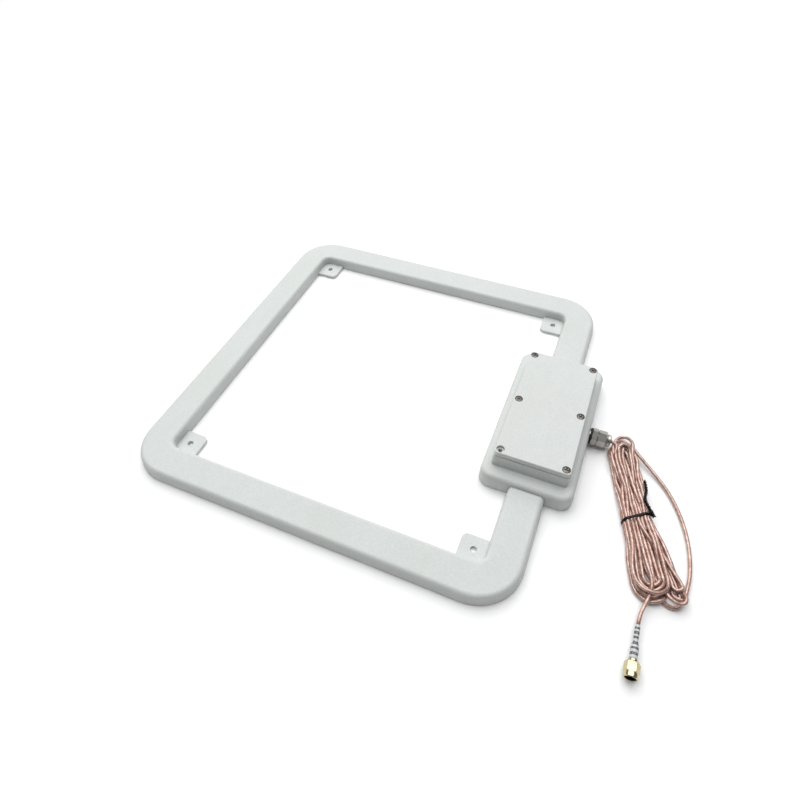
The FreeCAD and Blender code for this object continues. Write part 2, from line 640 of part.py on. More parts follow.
def gland_washer():
    ring = rod(gland_point(0), X_AXIS, GLAND_WASHER, 6.0)
    return ring.cut(rod(gland_point(-1), X_AXIS, 5, GLAND_THREAD_R + 0.1))


def gland_body():
    stub = GLAND_BOSS - 0.5
    inner_end = GLAND_WASHER + GLAND_HEX
    screwed = inner_end + NUT_GAP + NUT_HEX - 1.2
    hexagon = chamfered_hexagon(gland_point(GLAND_WASHER), X_AXIS, GLAND_HEX, GLAND_HEX_R, 5.8)
    rear = rod(gland_point(-stub), X_AXIS, stub + GLAND_WASHER + 0.5, GLAND_THREAD_R)
    front = rod(gland_point(inner_end - 0.5), X_AXIS, screwed - inner_end + 0.5, 4.4)
    body = fuse_all([hexagon, rear, front])
    cable_bore = rod(gland_point(-stub - 1), X_AXIS, 40, 1.6)
    seal_bore = rod(gland_point(screwed - 2.0), X_AXIS, 10, 3.05)
    return cut_all(body, [cable_bore, seal_bore])


def gland_seal():
    """The rubber bush that the nut squeezes round the cable."""
    start = GLAND_WASHER + GLAND_HEX + NUT_GAP + NUT_HEX - 3.2
    profile = [(CABLE_D / 2, 0), (3.0, 0), (3.0, 2.4), (2.3, 4.1), (CABLE_D / 2, 4.1)]
    return turned(gland_point(start), X_AXIS, profile)


def gland_nut():
    """The domed nut: a hexagon that steps down to a round collar."""
    start = GLAND_WASHER + GLAND_HEX + NUT_GAP
    hexagon = chamfered_hexagon(gland_point(start), X_AXIS, NUT_HEX, NUT_HEX_R, 5.5)
    profile = [(0, -1), (5.0, -1), (5.0, 0.3), (NUT_COLLAR_R, 1.0), (NUT_COLLAR_R, NUT_COLLAR - 0.8)]
    profile += [(NUT_COLLAR_R - 1.0, NUT_COLLAR), (0, NUT_COLLAR)]
    nut = hexagon.fuse(turned(gland_point(start + NUT_HEX), X_AXIS, profile))
    thread = rod(gland_point(start - 1), X_AXIS, NUT_HEX + 2.0, 4.45)
    throat = rod(gland_point(start), X_AXIS, 30, 2.0)
    return cut_all(nut, [thread, throat])


def coax_inside():
    """The cable from the gland's mouth through the wall and up to the board."""
    bend = 7.0
    mouth = V(GLAND_END_X, GLAND_Y, GLAND_Z)
    corner = V(CABLE_TURN_X, GLAND_Y, GLAND_Z)
    return tube([mouth, corner, V(CABLE_TURN_X, GLAND_Y, BOARD_Z)], [bend], "coax_inside")


# ---------------------------------------------------------------- free cable
def arc_radii(points):
    """Each corner's arc: as large as its two runs allow."""
    radii = []
    for before, corner, after in zip(points, points[1:], points[2:]):
        turn = (corner - before).getAngle(after - corner)
        shorter = min((corner - before).Length, (after - corner).Length)
        radii.append(0.45 * shorter / math.tan(turn / 2))
    return radii


def tube(points, radii, name):
    """A round tube along straight runs joined by tangent arcs."""
    edges = []
    start = points[0]
    for before, corner, after, radius in zip(points, points[1:], points[2:], radii):
        arriving = (corner - before).normalize()
        leaving = (after - corner).normalize()
        turn = arriving.getAngle(leaving)
        reach = radius * math.tan(turn / 2)
        entry, leave = corner - arriving * reach, corner + leaving * reach
        inward = (leaving - arriving).normalize()
        middle = corner + inward * (radius / math.cos(turn / 2) - radius)
        edges.append(Part.LineSegment(start, entry).toShape())
        edges.append(Part.Arc(entry, middle, leave).toShape())
        start = leave
    edges.append(Part.LineSegment(start, points[-1]).toShape())
    path = Part.Wire(edges)
    section = Part.Wire(Part.makeCircle(CABLE_D / 2, points[0], points[1] - points[0]))
    shape = path.makePipeShell([section], True, False)
    expected = math.pi * CABLE_D ** 2 / 4 * path.Length
    print(f"{name}: length {path.Length:.1f}, volume {shape.Volume:.1f}, section x length {expected:.1f}")
    print(f"{name}: radii " + ", ".join(f"{radius:.1f}" for radius in radii))
    return shape


LEAD_IN = [V(GLAND_END_X, GLAND_Y, GLAND_Z), V(187.0, GLAND_Y, GLAND_Z),
           V(188.9, -1.8, 6.5), V(188.3, -5.2, 6.0)]
SIDE_TURN = [V(203.0, 0.5, 4.5), V(213.0, -8.0, 3.0), V(227.0, -20.5, 1.5), V(238.0, -38.0, 1.3),
             V(245.5, -59.0, 1.3), V(248.2, -81.0, 1.4), V(246.0, -96.0, 2.4)]
TAIL = [V(224.8, -105.5, 5.7), V(222.8, -113.0, 5.3),
        V(220.7, -120.4, 4.75), V(PLUG_X, SLEEVE_START_Y, PLUG_Z)]
HANK_OUTLINE = [(191.2, 4.0), (195.0, 12.8), (199.5, 7.5), (208.9, -17.6), (221.0, -51.0), (232.5, -71.0),
                (246.0, -95.0), (242.5, -107.5), (227.7, -111.8), (213.0, -99.0), (206.3, -76.0),
                (200.8, -55.6), (191.5, -29.0), (185.8, -9.5), (190.6, -3.0)]


def hank_wire(inset, z):
    """The hank's outline at height z, drawn in by the inset."""
    corners = [V(x, y, z) for x, y in HANK_OUTLINE]
    points = []
    for index, corner in enumerate(corners):
        along = corners[(index + 1) % len(corners)] - corners[index - 1]
        inward = V(along.y, -along.x, 0).normalize()
        points.append(corner + inward * inset)
    curve = Part.BSplineCurve()
    curve.interpolate(points, PeriodicFlag=True)
    return Part.Wire(curve.toShape())


def coax_hank():
    """The outer shape of the tied hank, its top and bottom edges eased."""
    eased = 1.6
    levels = [(eased, 0.0), (0.0, eased), (0.0, HANK_HEIGHT - eased), (eased, HANK_HEIGHT)]
    return Part.makeLoft([hank_wire(inset, z) for inset, z in levels], True, True)


def tie_frame():
    """The hank's middle under the tie, and the directions along and across it."""
    along = V(0.32, -0.95, 0).normalize()
    return V(211.2, -53.5, 0), along, V(-along.y, along.x, 0)


def twist_tie():
    """A wire tie round the hank's waist, its two ends twisted together and laid back."""
    centre, along, across = tie_frame()
    half_width, thick, band = 10.9, 0.9, 2.4
    outer = plate(2 * (half_width + thick), HANK_HEIGHT + 2 * thick, 3.4, -band / 2, band / 2)
    inner = plate(2 * half_width, HANK_HEIGHT, 2.6, -band, band)
    loop = outer.cut(inner)
    loop.rotate(V(0, 0, 0), X_AXIS, 90)
    angle = math.degrees(math.atan2(across.y, across.x))
    loop.rotate(V(0, 0, 0), Z_AXIS, angle)
    loop.translate(centre + V(0, 0, HANK_HEIGHT / 2 + thick))
    return loop


# ---------------------------------------------------------------- coaxial connector
def plug_point(y):
    return V(PLUG_X, y, PLUG_Z)


def plug_turned(y, profile):
    return turned(plug_point(y), Y_AXIS * -1, profile)


def marker_sleeve():
    """Heat-shrink over the cable's end, swelling where it covers the ferrule."""
    length = SLEEVE_START_Y - SLEEVE_END_Y
    step = SLEEVE_START_Y - FERRULE_START_Y
    core, over = CABLE_D / 2 + 0.05, 2.0
    profile = [(core, 0), (core + 0.4, 0), (core + 0.5, step - 2.0), (over + 0.45, step + 0.6)]
    profile += [(over + 0.45, length), (over, length), (over, step - 0.2), (core, step - 0.2)]
    return plug_turned(SLEEVE_START_Y, profile)


def crimp_ferrule():
    length = FERRULE_START_Y - PLUG_BACK_Y
    core = CABLE_D / 2 + 0.05
    return plug_turned(FERRULE_START_Y, [(core, 0), (1.9, 0), (1.9, length), (core, length)])


def coax_end():
    """The straight end of the cable inside the sleeve and ferrule."""
    return rod(plug_point(SLEEVE_START_Y), Y_AXIS * -1, SLEEVE_START_Y - PLUG_BACK_Y, CABLE_D / 2)


def plug_body():
    """The connector's inner body: rear collar, neck and front shoulder."""
    profile = [(0.6, 0), (2.7, 0), (2.7, 1.0), (2.3, 1.1), (2.3, 4.6), (3.0, 4.6), (3.0, 6.6), (2.05, 6.6)]
    return plug_turned(PLUG_BACK_Y, profile + [(2.05, 2.0), (0.6, 2.0)])


def plug_insulator():
    return plug_turned(PLUG_BACK_Y - 2.0, [(0.5, 0), (2.0, 0), (2.0, 4.6), (0.5, 4.6)])


def plug_pin():
    return plug_turned(PLUG_BACK_Y - 0.2, [(0, 0), (0.45, 0), (0.45, 7.6), (0.2, 8.2), (0, 8.2)])


def snap_ring():
    """The split ring in the neck's groove that keeps the coupling nut on."""
    ring = plug_turned(PLUG_BACK_Y - 2.6, [(2.32, 0), (2.75, 0), (2.75, 0.6), (2.32, 0.6)])
    return ring.cut(block(PLUG_X - 0.4, PLUG_X + 0.4, -200, 0, PLUG_Z, PLUG_Z + 5))


def coupling_nut():
    """The hexagonal coupling nut, round at its open end and bored for the mating thread."""
    length = NUT_BACK_Y - NUT_FRONT_Y
    corner = PLUG_NUT_FLATS / math.sqrt(3)
    flats = PLUG_NUT_FLATS / 2
    blank = hexagon_prism(plug_point(NUT_BACK_Y), Y_AXIS * -1, length, corner, PLUG_NUT_TURN)
    envelope = [(0, 0), (flats - 0.4, 0), (corner, 1.3), (corner, length - 3.6), (flats, length - 2.9)]
    envelope += [(flats, length - 0.4), (flats - 0.4, length), (0, length)]
    nut = blank.common(plug_turned(NUT_BACK_Y, envelope))
    bore = [(0, -0.5), (2.36, -0.5), (2.36, 1.2), (3.08, 1.2), (3.08, length - 0.5)]
    bore += [(3.5, length + 0.1), (0, length + 0.1)]
    return nut.cut(plug_turned(NUT_BACK_Y, bore))


# ---------------------------------------------------------------- write the parts
def build_parts():
    return {
        "frame_top_shell": frame_top_shell(),
        "frame_bottom_cover": frame_bottom_cover(),
        "frame_screws": frame_screws(),
        "copper_loop": copper_loop(),
        "strip_clips": strip_clips(),
        "box_base": box_base(),
        "base_plate": base_plate(),
        "base_screws": base_screws(),
        "box_body": box_body(),
        "body_screws": body_screws(),
        "lid_gasket": lid_gasket(),
        "box_lid": box_lid(),
        "lid_screws": lid_screws(),
        "tuning_board": tuning_board(),
        "board_screws": board_screws(),
        "terminal_bolts": terminal_bolts(),
        "terminal_nuts": terminal_nuts(),
        "trimmer_stator_tune": trimmer_stator(TRIMMER_Y[0]),
        "trimmer_stator_match": trimmer_stator(TRIMMER_Y[1]),
        "trimmer_rotor_tune": trimmer_rotor(TRIMMER_Y[0]),
        "trimmer_rotor_match": trimmer_rotor(TRIMMER_Y[1]),
        "balun_core": balun_core(),
        "balun_winding": balun_winding(),
        "fixed_capacitors": fixed_capacitors(),
        "damping_resistor": damping_resistor(),
        "gland_washer": gland_washer(),
        "gland_body": gland_body(),
        "gland_seal": gland_seal(),
        "gland_nut": gland_nut(),
        "coax_inside": coax_inside(),
        "coax_lead_in": tube(LEAD_IN, arc_radii(LEAD_IN), "coax_lead_in"),
        "coax_hank": coax_hank(),
        "coax_side_turn": tube(SIDE_TURN, arc_radii(SIDE_TURN), "coax_side_turn"),
        "coax_tail": tube(TAIL, arc_radii(TAIL), "coax_tail"),
        "twist_tie": twist_tie(),
        "marker_sleeve": marker_sleeve(),
        "crimp_ferrule": crimp_ferrule(),
        "coax_end": coax_end(),
        "plug_body": plug_body(),
        "plug_insulator": plug_insulator(),
        "plug_pin": plug_pin(),
        "snap_ring": snap_ring(),
        "coupling_nut": coupling_nut(),
    }


def main():
    os.makedirs("parts", exist_ok=True)
    for name, shape in build_parts().items():
        if not shape.isValid():
            print(f"{name}: not valid")
        shape.exportStep(f"parts/{name}.step")
        low, high = shape.BoundBox.ZMin, shape.BoundBox.ZMax
        print(f"{name}: {len(shape.Solids)} solid(s), volume {shape.Volume:.1f}, z {low:.2f} to {high:.2f}")


main()
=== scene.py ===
import math

import bmesh
import bpy
import numpy as np
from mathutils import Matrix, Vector, noise


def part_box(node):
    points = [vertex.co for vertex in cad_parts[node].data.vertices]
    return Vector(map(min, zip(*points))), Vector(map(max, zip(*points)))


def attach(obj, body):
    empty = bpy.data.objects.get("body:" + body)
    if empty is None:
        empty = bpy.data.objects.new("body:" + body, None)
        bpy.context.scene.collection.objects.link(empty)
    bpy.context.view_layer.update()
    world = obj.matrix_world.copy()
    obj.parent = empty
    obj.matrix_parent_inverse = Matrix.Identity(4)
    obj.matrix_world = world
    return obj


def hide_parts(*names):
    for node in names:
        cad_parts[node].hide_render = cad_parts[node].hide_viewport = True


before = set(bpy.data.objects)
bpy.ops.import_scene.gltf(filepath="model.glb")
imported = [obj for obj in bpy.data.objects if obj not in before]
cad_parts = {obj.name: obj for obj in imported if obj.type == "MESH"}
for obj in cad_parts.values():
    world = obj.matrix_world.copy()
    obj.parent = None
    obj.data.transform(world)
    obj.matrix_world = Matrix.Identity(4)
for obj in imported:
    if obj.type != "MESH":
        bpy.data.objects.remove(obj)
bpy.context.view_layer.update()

MM = 0.001
scene = bpy.context.scene


# ---------------------------------------------------------------- camera
LENS = 24.56
CAMERA_PLACE = (0.13672, -0.27655, 0.34534)
CAMERA_ANGLES = (39.74, 1.22, 22.85)


def make_camera():
    """A short lens close above the object's near side, looking down across it."""
    data = bpy.data.cameras.new("view_camera")
    data.lens = LENS
    data.sensor_width = 36.0
    data.clip_start = 0.01
    camera = bpy.data.objects.new("view_camera", data)
    camera.location = CAMERA_PLACE
    camera.rotation_euler = [math.radians(angle) for angle in CAMERA_ANGLES]
    scene.collection.objects.link(camera)
    scene.camera = camera


# ---------------------------------------------------------------- cable, laid out in millimetres
CABLE_D = 2.5
CABLE_R = CABLE_D / 2
CABLE_SIDES = 14
LEAD_IN = [(183.4, 1.4, 7.0), (187.0, 1.4, 7.0), (188.9, -1.8, 6.5), (188.3, -5.2, 6.0)]
SIDE_TURN = [(203.0, 0.5, 4.5), (213.0, -8.0, 3.0), (227.0, -20.5, 1.5), (238.0, -38.0, 1.3),
             (245.5, -59.0, 1.3), (248.2, -81.0, 1.4), (246.0, -96.0, 2.4)]
TAIL = [(224.8, -105.5, 5.7), (222.8, -113.0, 5.3), (220.7, -120.4, 4.75), (220.5, -127.0, 4.7)]

# Where the hank's outermost runs lie on each side, from its top to its foot; the tie is at one station.
HANK_LEFT = np.array([(185.8, -8.5), (189.6, -20.5), (195.2, -37.0), (202.4, -57.0),
                      (207.6, -72.5), (209.8, -86.3), (213.6, -98.0)])
HANK_RIGHT = np.array([(202.3, -3.2), (207.6, -18.0), (213.0, -33.5), (218.8, -51.8),
                       (229.4, -67.5), (237.4, -82.0), (244.6, -94.5)])
TIE_STATION = 3
LOW_LAYER, MID_LAYER, TOP_LAYER = 1.4, 3.9, 6.4
UP_HANK = np.array((-0.30, 0.95, 0.0))
DOWN_HANK = np.array((0.20, -0.98, 0.0))
DOWN_BUNCH = np.array((0.45, -0.89, 0.0))
FOLD_R = 5.0
TIGHT_FOLD_R = 3.4
FOLD_POINTS = 7
FOLD_BULGE = math.radians(25)
STEP = 5.0
CORNER_CUTS = 3

# The ten turns, in the cable's order. Each is a run down the hank and a run back up, by their shares across
# its width at the top, the tie and the foot; then the height, and the fold at the foot: how far it reaches
# past the runs, the way it points, and its least radius.
TURNS = [((0.10, 0.22, 0.10), (0.96, 0.72, 0.62), TOP_LAYER, 6.0, DOWN_HANK, FOLD_R),
         ((0.40, 0.04, 0.00), (0.99, 0.80, 0.68), LOW_LAYER, 12.5, DOWN_HANK, FOLD_R),
         ((0.22, 0.18, 0.24), (0.66, 0.58, 0.46), LOW_LAYER, 5.0, DOWN_HANK, FOLD_R),
         ((0.30, 0.36, 0.50), (0.90, 0.92, 0.90), LOW_LAYER, 13.0, DOWN_BUNCH, FOLD_R),
         ((0.00, 0.00, 0.03), (0.34, 0.62, 0.62), MID_LAYER, 10.5, DOWN_HANK, FOLD_R),
         ((0.10, 0.14, 0.14), (0.70, 0.50, 0.42), MID_LAYER, 7.0, DOWN_HANK, FOLD_R),
         ((0.36, 0.40, 0.54), (0.95, 1.00, 1.00), MID_LAYER, 12.5, DOWN_BUNCH, FOLD_R),
         ((0.26, 0.10, 0.02), (0.97, 0.86, 0.68), TOP_LAYER, 9.5, DOWN_HANK, FOLD_R),
         ((0.40, 0.48, 0.92), (0.50, 0.74, 1.00), TOP_LAYER, 3.5, DOWN_BUNCH, TIGHT_FOLD_R),
         ((0.05, 0.32, 0.24), (0.78, 0.60, 0.52), TOP_LAYER, 4.0, DOWN_HANK, FOLD_R)]
FIRST_TURNS = 5
# How far the fold before each turn but the first reaches past the top of the hank.
TOP_REACHES = [19.5, 8.0, 9.0, 5.0, 8.5, 7.5, 15.0, 8.5, 6.0]
# The arch from the first five turns into the side turn.
SIDE_TURN_REACH = 9.0
# After the side turn the cable crosses over itself, runs up the hank, and takes the other five turns.
LOW_CROSSING = [(247.2, -99.6, 3.0), (246.0, -103.0, 3.8), (242.6, -103.6, 4.6), (240.6, -100.2, 5.0)]
RUN_BACK_SHARES = (0.60, 0.84, 0.88)
# The last run goes down over all the others to the plug.
LAST_SHARES = (0.25, 0.44, 0.40)
LAST_HEIGHTS = (TOP_LAYER + 2.0, TOP_LAYER + 2.5, TOP_LAYER + 3.0)
LAST_REACH = 8.0

# How the turns settle: each round bends them straighter, pulls them towards where they were laid and down,
# opens bends sharper than so many radians at a point, evens the steps, and pushes apart what overlaps. The
# last rounds don't bend or pull.
SETTLE_ROUNDS = 240
LAST_ROUNDS = 12
STIFFNESS = 0.45
HOME_PULL = 0.035
SAG = 0.05
SHARPEST = 1.0
OPENING = 0.5
SPACING_PULL = 0.25
CONTACT_PASSES = 2
CONTACT_PUSH = 0.35
LEVEL_SLOPE = 0.02
LEVEL_LIFT = 0.3
SIDE_PUSH = 0.6
FLOOR_GAP = 0.05
PAIRS_EVERY = 8
PAIR_REACH = 9.0
PAIR_SKIP = 3
TINY = 1e-6

# The wire tie round the hank: where its middle is, which way it crosses, and its two ends twisted together.
TIE_CENTRE = np.array((211.0, -53.8, 0.0))
TIE_ACROSS = np.array((0.827, 0.562, 0.0))
TIE_NORMAL = np.array((0.562, -0.827, 0.0))
TIE_REACH = 15.0
TIE_WIDTH = 1.9
TIE_THICK = 0.55
TIE_SECTION = [(-1.0, -0.6), (-0.8, -1.0), (0.8, -1.0), (1.0, -0.6),
               (1.0, 0.2), (0.45, 1.0), (-0.45, 1.0), (-1.0, 0.2)]
TIE_STATIONS = 72
TIE_WOBBLE = 0.25
TIE_WOBBLE_START = 0.7
TIE_LOWEST = 0.06
STRAND_SIDES = 24
TIE_END = [(219.3, -51.4), (217.0, -47.6), (214.1, -44.8), (212.3, -40.9), (212.9, -36.8), (213.2, -33.2),
           (212.0, -29.0), (210.7, -25.4)]
TIE_END_TWIST = 4.2
TIE_END_R = 0.6
TIE_KNOT = [(217.6, -48.9), (219.0, -50.7), (220.3, -52.3)]
TIE_KNOT_TWIST = 2.8
TIE_KNOT_R = 0.95
TIE_WIRE_R = 0.72
TIE_WIRE_TAPER = 0.62
TWIST_STEP = 0.5
TWIST_SMOOTHING = 9
TWIST_LIFT = 2.4
STRANDS_NEAR = 3.5

# The marker sleeve: sizes in millimetres, and shares of its length from its plug end.
SLEEVE_STATIONS = 56
SLEEVE_SIDES = 40
SLEEVE_NARROW = 1.62
SLEEVE_STEP = 0.34
SLEEVE_STEP_SHARE = 0.16
SLEEVE_GAP = 0.08
SLEEVE_LIP = 0.5
SLEEVE_LIP_DEPTH = 0.18
SLEEVE_INSET = 0.07
WRINKLE_DEPTH = 0.09
CREASE_DEPTH = 0.06
# How fast the wrinkles and creases change around the sleeve, and along it.
WRINKLE_RATE = (1.1, 9.0)
CREASE_RATE = (0.6, 26.0)
# Each ink band's place along the sleeve, and half its width in millimetres.
SLEEVE_MARKS = [(0.13, 0.9), (0.29, 0.7), (0.44, 1.1), (0.61, 0.8), (0.75, 1.0), (0.89, 0.7)]

# The radius inside which the coupling nut's bore is painted in shade.
NUT_BORE_R = 3.35
BRAID_CARRIERS = 8
BRAID_PITCH = 9.0

WHITE = (0.590, 0.614, 0.604)
BOX_WHITE = (0.605, 0.628, 0.620)
GOLD = (0.62, 0.54, 0.33)
OLIVE = (0.16, 0.11, 0.04)


# ---------------------------------------------------------------- the hank's turns
def run(shares, z_top, z_tie, z_foot):
    """A run down the hank, by its shares across the width and its heights at the top, tie and foot."""
    top, tie, foot = shares
    last = len(HANK_LEFT) - 1
    points = []
    for station in range(last + 1):
        if station <= TIE_STATION:
            share = station / TIE_STATION
            across = top + (tie - top) * share
            z = z_top + (z_tie - z_top) * share
        else:
            share = (station - TIE_STATION) / (last - TIE_STATION)
            across = tie + (foot - tie) * share
            z = z_tie + (z_foot - z_tie) * share
        place = HANK_LEFT[station] * (1 - across) + HANK_RIGHT[station] * across
        points.append((place[0], place[1], z))
    return np.array(points)


def fold(start, end, outward, reach, least=FOLD_R):
    """A turn-back between two runs: straight legs and a round end with at least a given radius."""
    middle, half = (start + end) / 2, (end - start) / 2
    width = np.linalg.norm(half)
    radius = max(width, least)
    side = half / width
    centre = middle + outward * (reach - radius)
    bulge = 0.0 if width > least else FOLD_BULGE
    points = []
    for k in range(FOLD_POINTS):
        angle = -bulge + (math.pi + 2 * bulge) * k / (FOLD_POINTS - 1)
        spot = centre - side * (radius * math.cos(angle)) + outward * (radius * math.sin(angle))
        spot[2] = middle[2] - half[2] * math.cos(angle)
        points.append(spot)
    return np.array(points)


def even_steps(points, spacing=STEP):
    """The line through the points, its corners cut, in even steps."""
    points = np.array(points, float)
    for _ in range(CORNER_CUTS):
        near = points[:-1] * 0.75 + points[1:] * 0.25
        far = points[:-1] * 0.25 + points[1:] * 0.75
        middle = np.empty((2 * len(near), 3))
        middle[0::2] = near
        middle[1::2] = far
        points = np.vstack([points[:1], middle, points[-1:]])
    step = np.linalg.norm(np.diff(points, axis=0), axis=1)
    along = np.concatenate([[0], np.cumsum(step)])
    count = max(2, int(round(along[-1] / spacing)))
    where = np.linspace(0, along[-1], count + 1)
    return np.column_stack([np.interp(where, along, points[:, k]) for k in range(3)])


def windings():
    """The points of the hank's two windings: the turns before the side turn, and those after it."""
    turns = []
    for down_shares, up_shares, z, reach, way, least in TURNS:
        down = run(down_shares, z, z, z)
        up = run(up_shares, z, z, z)[::-1]
        turns.append(np.vstack([down, fold(down[-1], up[0], way, reach, least), up]))
    first = [turns[0]]
    second = [run(RUN_BACK_SHARES, MID_LAYER, MID_LAYER, MID_LAYER)[::-1]]
    for k in range(1, len(turns)):
        winding = first if k < FIRST_TURNS else second
        winding.append(fold(winding[-1][-1], turns[k][0], UP_HANK, TOP_REACHES[k - 1]))
        winding.append(turns[k])
    first.append(fold(first[-1][-1], np.array(SIDE_TURN[0]), UP_HANK, SIDE_TURN_REACH))
    last = run(LAST_SHARES, *LAST_HEIGHTS)
    second.append(fold(second[-1][-1], last[0], UP_HANK, LAST_REACH))
    second.append(last)
    return np.vstack(first), np.vstack(second)


def beyond(points, side, outward):
    """How far each point lies outside one side of the hank, and the way out; outward is 1 or -1."""
    over = np.full(len(points), -np.inf)
    way = np.zeros((len(points), 2))
    for start, end in zip(side[:-1], side[1:]):
        length = np.linalg.norm(end - start)
        along = (end - start) / length
        normal = np.array((along[1], -along[0])) * outward
        offset = points[:, :2] - start
        station = offset @ along
        beside = (station >= 0) & (station < length)
        over = np.where(beside, offset @ normal, over)
        way[beside] = normal
    return over, way


def closest(one_start, one_end, other_start, other_end):
    """Where the steps of each pair are nearest: the share along each, and the gap to the one step."""
    one, other, between = one_end - one_start, other_end - other_start, one_start - other_start
    one_one, one_other, other_other = (one * one).sum(1), (one * other).sum(1), (other * other).sum(1)
    one_between, other_between = (one * between).sum(1), (other * between).sum(1)
    spread = one_one * other_other - one_other * one_other
    share = (one_other * other_between - other_other * one_between) / np.maximum(spread, TINY)
    share = np.clip(np.where(spread > TINY, share, 0.5), 0, 1)
    other_share = np.clip((one_other * share + other_between) / other_other, 0, 1)
    share = np.clip((one_other * other_share - one_between) / one_one, 0, 1)
    gap = (one_start + one * share[:, None]) - (other_start + other * other_share[:, None])
    return share, other_share, gap


def near_pairs(points):
    """The pairs of steps that are near each other, leaving out those next to each other in the cable."""
    one, other = [], []
    count = len(points) - 1
    middle = (points[:-1] + points[1:]) / 2
    for k in range(count - PAIR_SKIP):
        later = np.arange(k + PAIR_SKIP, count)
        near = later[np.abs(middle[later] - middle[k]).max(1) < PAIR_REACH]
        one.append(np.full(len(near), k))
        other.append(near)
    return np.concatenate(one), np.concatenate(other)


def straighten(points, home):
    """One round of the cable's stiffness, the pull towards where it was laid, and its weight."""
    bend = np.zeros_like(points)
    bend[2:-2] = (-points[:-4] + 4 * points[1:-3] + 4 * points[3:-1] - points[4:]) / 6 - points[2:-2]
    points += STIFFNESS * bend
    points[:, :2] += HOME_PULL * (home[:, :2] - points[:, :2])
    points[:, 2] -= SAG


def open_sharp_bends(points):
    """Points where the cable turns more than SHARPEST radians move towards their neighbours' middle."""
    middle = (points[:-2] + points[2:]) / 2
    before, after = points[1:-1] - points[:-2], points[2:] - points[1:-1]
    size = np.linalg.norm(before, axis=1) * np.linalg.norm(after, axis=1)
    angle = np.arccos(np.clip((before * after).sum(1) / size, -1, 1))
    points[1:-1] += (middle - points[1:-1]) * (OPENING * np.clip(angle / SHARPEST - 1, 0, 1))[:, None]


def keep_spacing(points, spacing):
    """Each step moves towards its first length."""
    step = np.diff(points, axis=0)
    length = np.linalg.norm(step, axis=1)
    pull = step * (SPACING_PULL * (1 - spacing / length))[:, None]
    points[:-1] += pull
    points[1:] -= pull


def push_apart(points, one, other):
    """Steps that overlap move apart, and those side by side also move a little up or down."""
    share, other_share, gap = closest(points[one], points[one + 1], points[other], points[other + 1])
    distance = np.linalg.norm(gap, axis=1)
    hit = distance < CABLE_D
    one, other, share, other_share = one[hit], other[hit], share[hit], other_share[hit]
    gap, distance = gap[hit], distance[hit]
    direction = gap / np.maximum(distance, TINY)[:, None]
    level = np.abs(direction[:, 2]) < LEVEL_SLOPE
    direction[level, 2] = np.where(gap[level, 2] < 0, -LEVEL_LIFT, LEVEL_LIFT)
    push = direction * ((CABLE_D - distance) * CONTACT_PUSH)[:, None]
    move = np.zeros_like(points)
    weight = np.zeros(len(points))
    ends = ((one, 1 - share, 1), (one + 1, share, 1),
            (other, 1 - other_share, -1), (other + 1, other_share, -1))
    for index, part, sign in ends:
        np.add.at(move, index, sign * push * part[:, None])
        np.add.at(weight, index, part)
    points += move / np.maximum(weight, 1.0)[:, None]


def settle(points, fixed):
    """The cable once its loose points lie on each other, on the floor and between the hank's sides."""
    points = points.copy()
    home = points.copy()
    spacing = np.linalg.norm(np.diff(points, axis=0), axis=1)
    for count in range(SETTLE_ROUNDS):
        if count % PAIRS_EVERY == 0:
            one, other = near_pairs(points)
        if count < SETTLE_ROUNDS - LAST_ROUNDS:
            straighten(points, home)
        open_sharp_bends(points)
        keep_spacing(points, spacing)
        for _ in range(CONTACT_PASSES):
            push_apart(points, one, other)
            points[:, 2] = np.maximum(points[:, 2], CABLE_R + FLOOR_GAP)
            for side, outward in ((HANK_LEFT, 1.0), (HANK_RIGHT, -1.0)):
                over, way = beyond(points, side, outward)
                out = (over > 0) & ~fixed
                points[out, :2] -= way[out] * (over[out] * SIDE_PUSH)[:, None]
        points[fixed] = home[fixed]
    return points


def cable_points():
    """Every point of the cable: the lead in, first winding, side turn, second winding and tail.

    Only the hank's two windings are stepped and settled. The other stretches keep their own points.
    """
    first, second = windings()
    lead, side, tail = (np.array(points) for points in (LEAD_IN, SIDE_TURN, TAIL))
    first = even_steps(np.vstack([lead[-1:], first, side[:1]]))[1:-1]
    second = even_steps(np.vstack([side[-1:], LOW_CROSSING, second, tail[:1]]))[1:-1]
    points = np.vstack([lead, first, side, second, tail])
    fixed = np.zeros(len(points), bool)
    fixed[:len(lead)] = True
    start = len(lead) + len(first)
    fixed[start:start + len(side)] = True
    fixed[-len(tail):] = True
    return settle(points, fixed)


# ---------------------------------------------------------------- pieces
def add_object(name, data, body, finish):
    """Puts a piece into the scene, on its body, with its slot's name and finish."""
    piece = bpy.data.objects.new(name, data)
    scene.collection.objects.link(piece)
    data.materials.append(finish)
    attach(piece, body)
    return piece


def tube_curve(name, routes, radius, taper=1.0):
    """A round-section NURBS curve along each route, in millimetres, its end thinner by the taper."""
    data = bpy.data.curves.new(name, "CURVE")
    data.dimensions = "3D"
    data.bevel_depth = radius * MM
    data.bevel_resolution = 4
    data.resolution_u = 4
    data.use_fill_caps = True
    for route in routes:
        spline = data.splines.new("NURBS")
        spline.points.add(len(route) - 1)
        for k, (knot, point) in enumerate(zip(spline.points, route)):
            knot.co = (point[0] * MM, point[1] * MM, point[2] * MM, 1.0)
            knot.radius = 1 - (1 - taper) * k / (len(route) - 1)
        spline.order_u = 3
        spline.use_endpoint_u = True
    return data


def centreline(name, route):
    """The points, in metres, of the NURBS line that has the route as its control points."""
    data = tube_curve(name, [route], 0.0)
    line = bpy.data.objects.new(name, data)
    scene.collection.objects.link(line)
    drawn = bpy.data.meshes.new_from_object(line)
    points = np.array([vertex.co for vertex in drawn.vertices], float)
    bpy.data.objects.remove(line)
    bpy.data.curves.remove(data)
    bpy.data.meshes.remove(drawn)
    return points


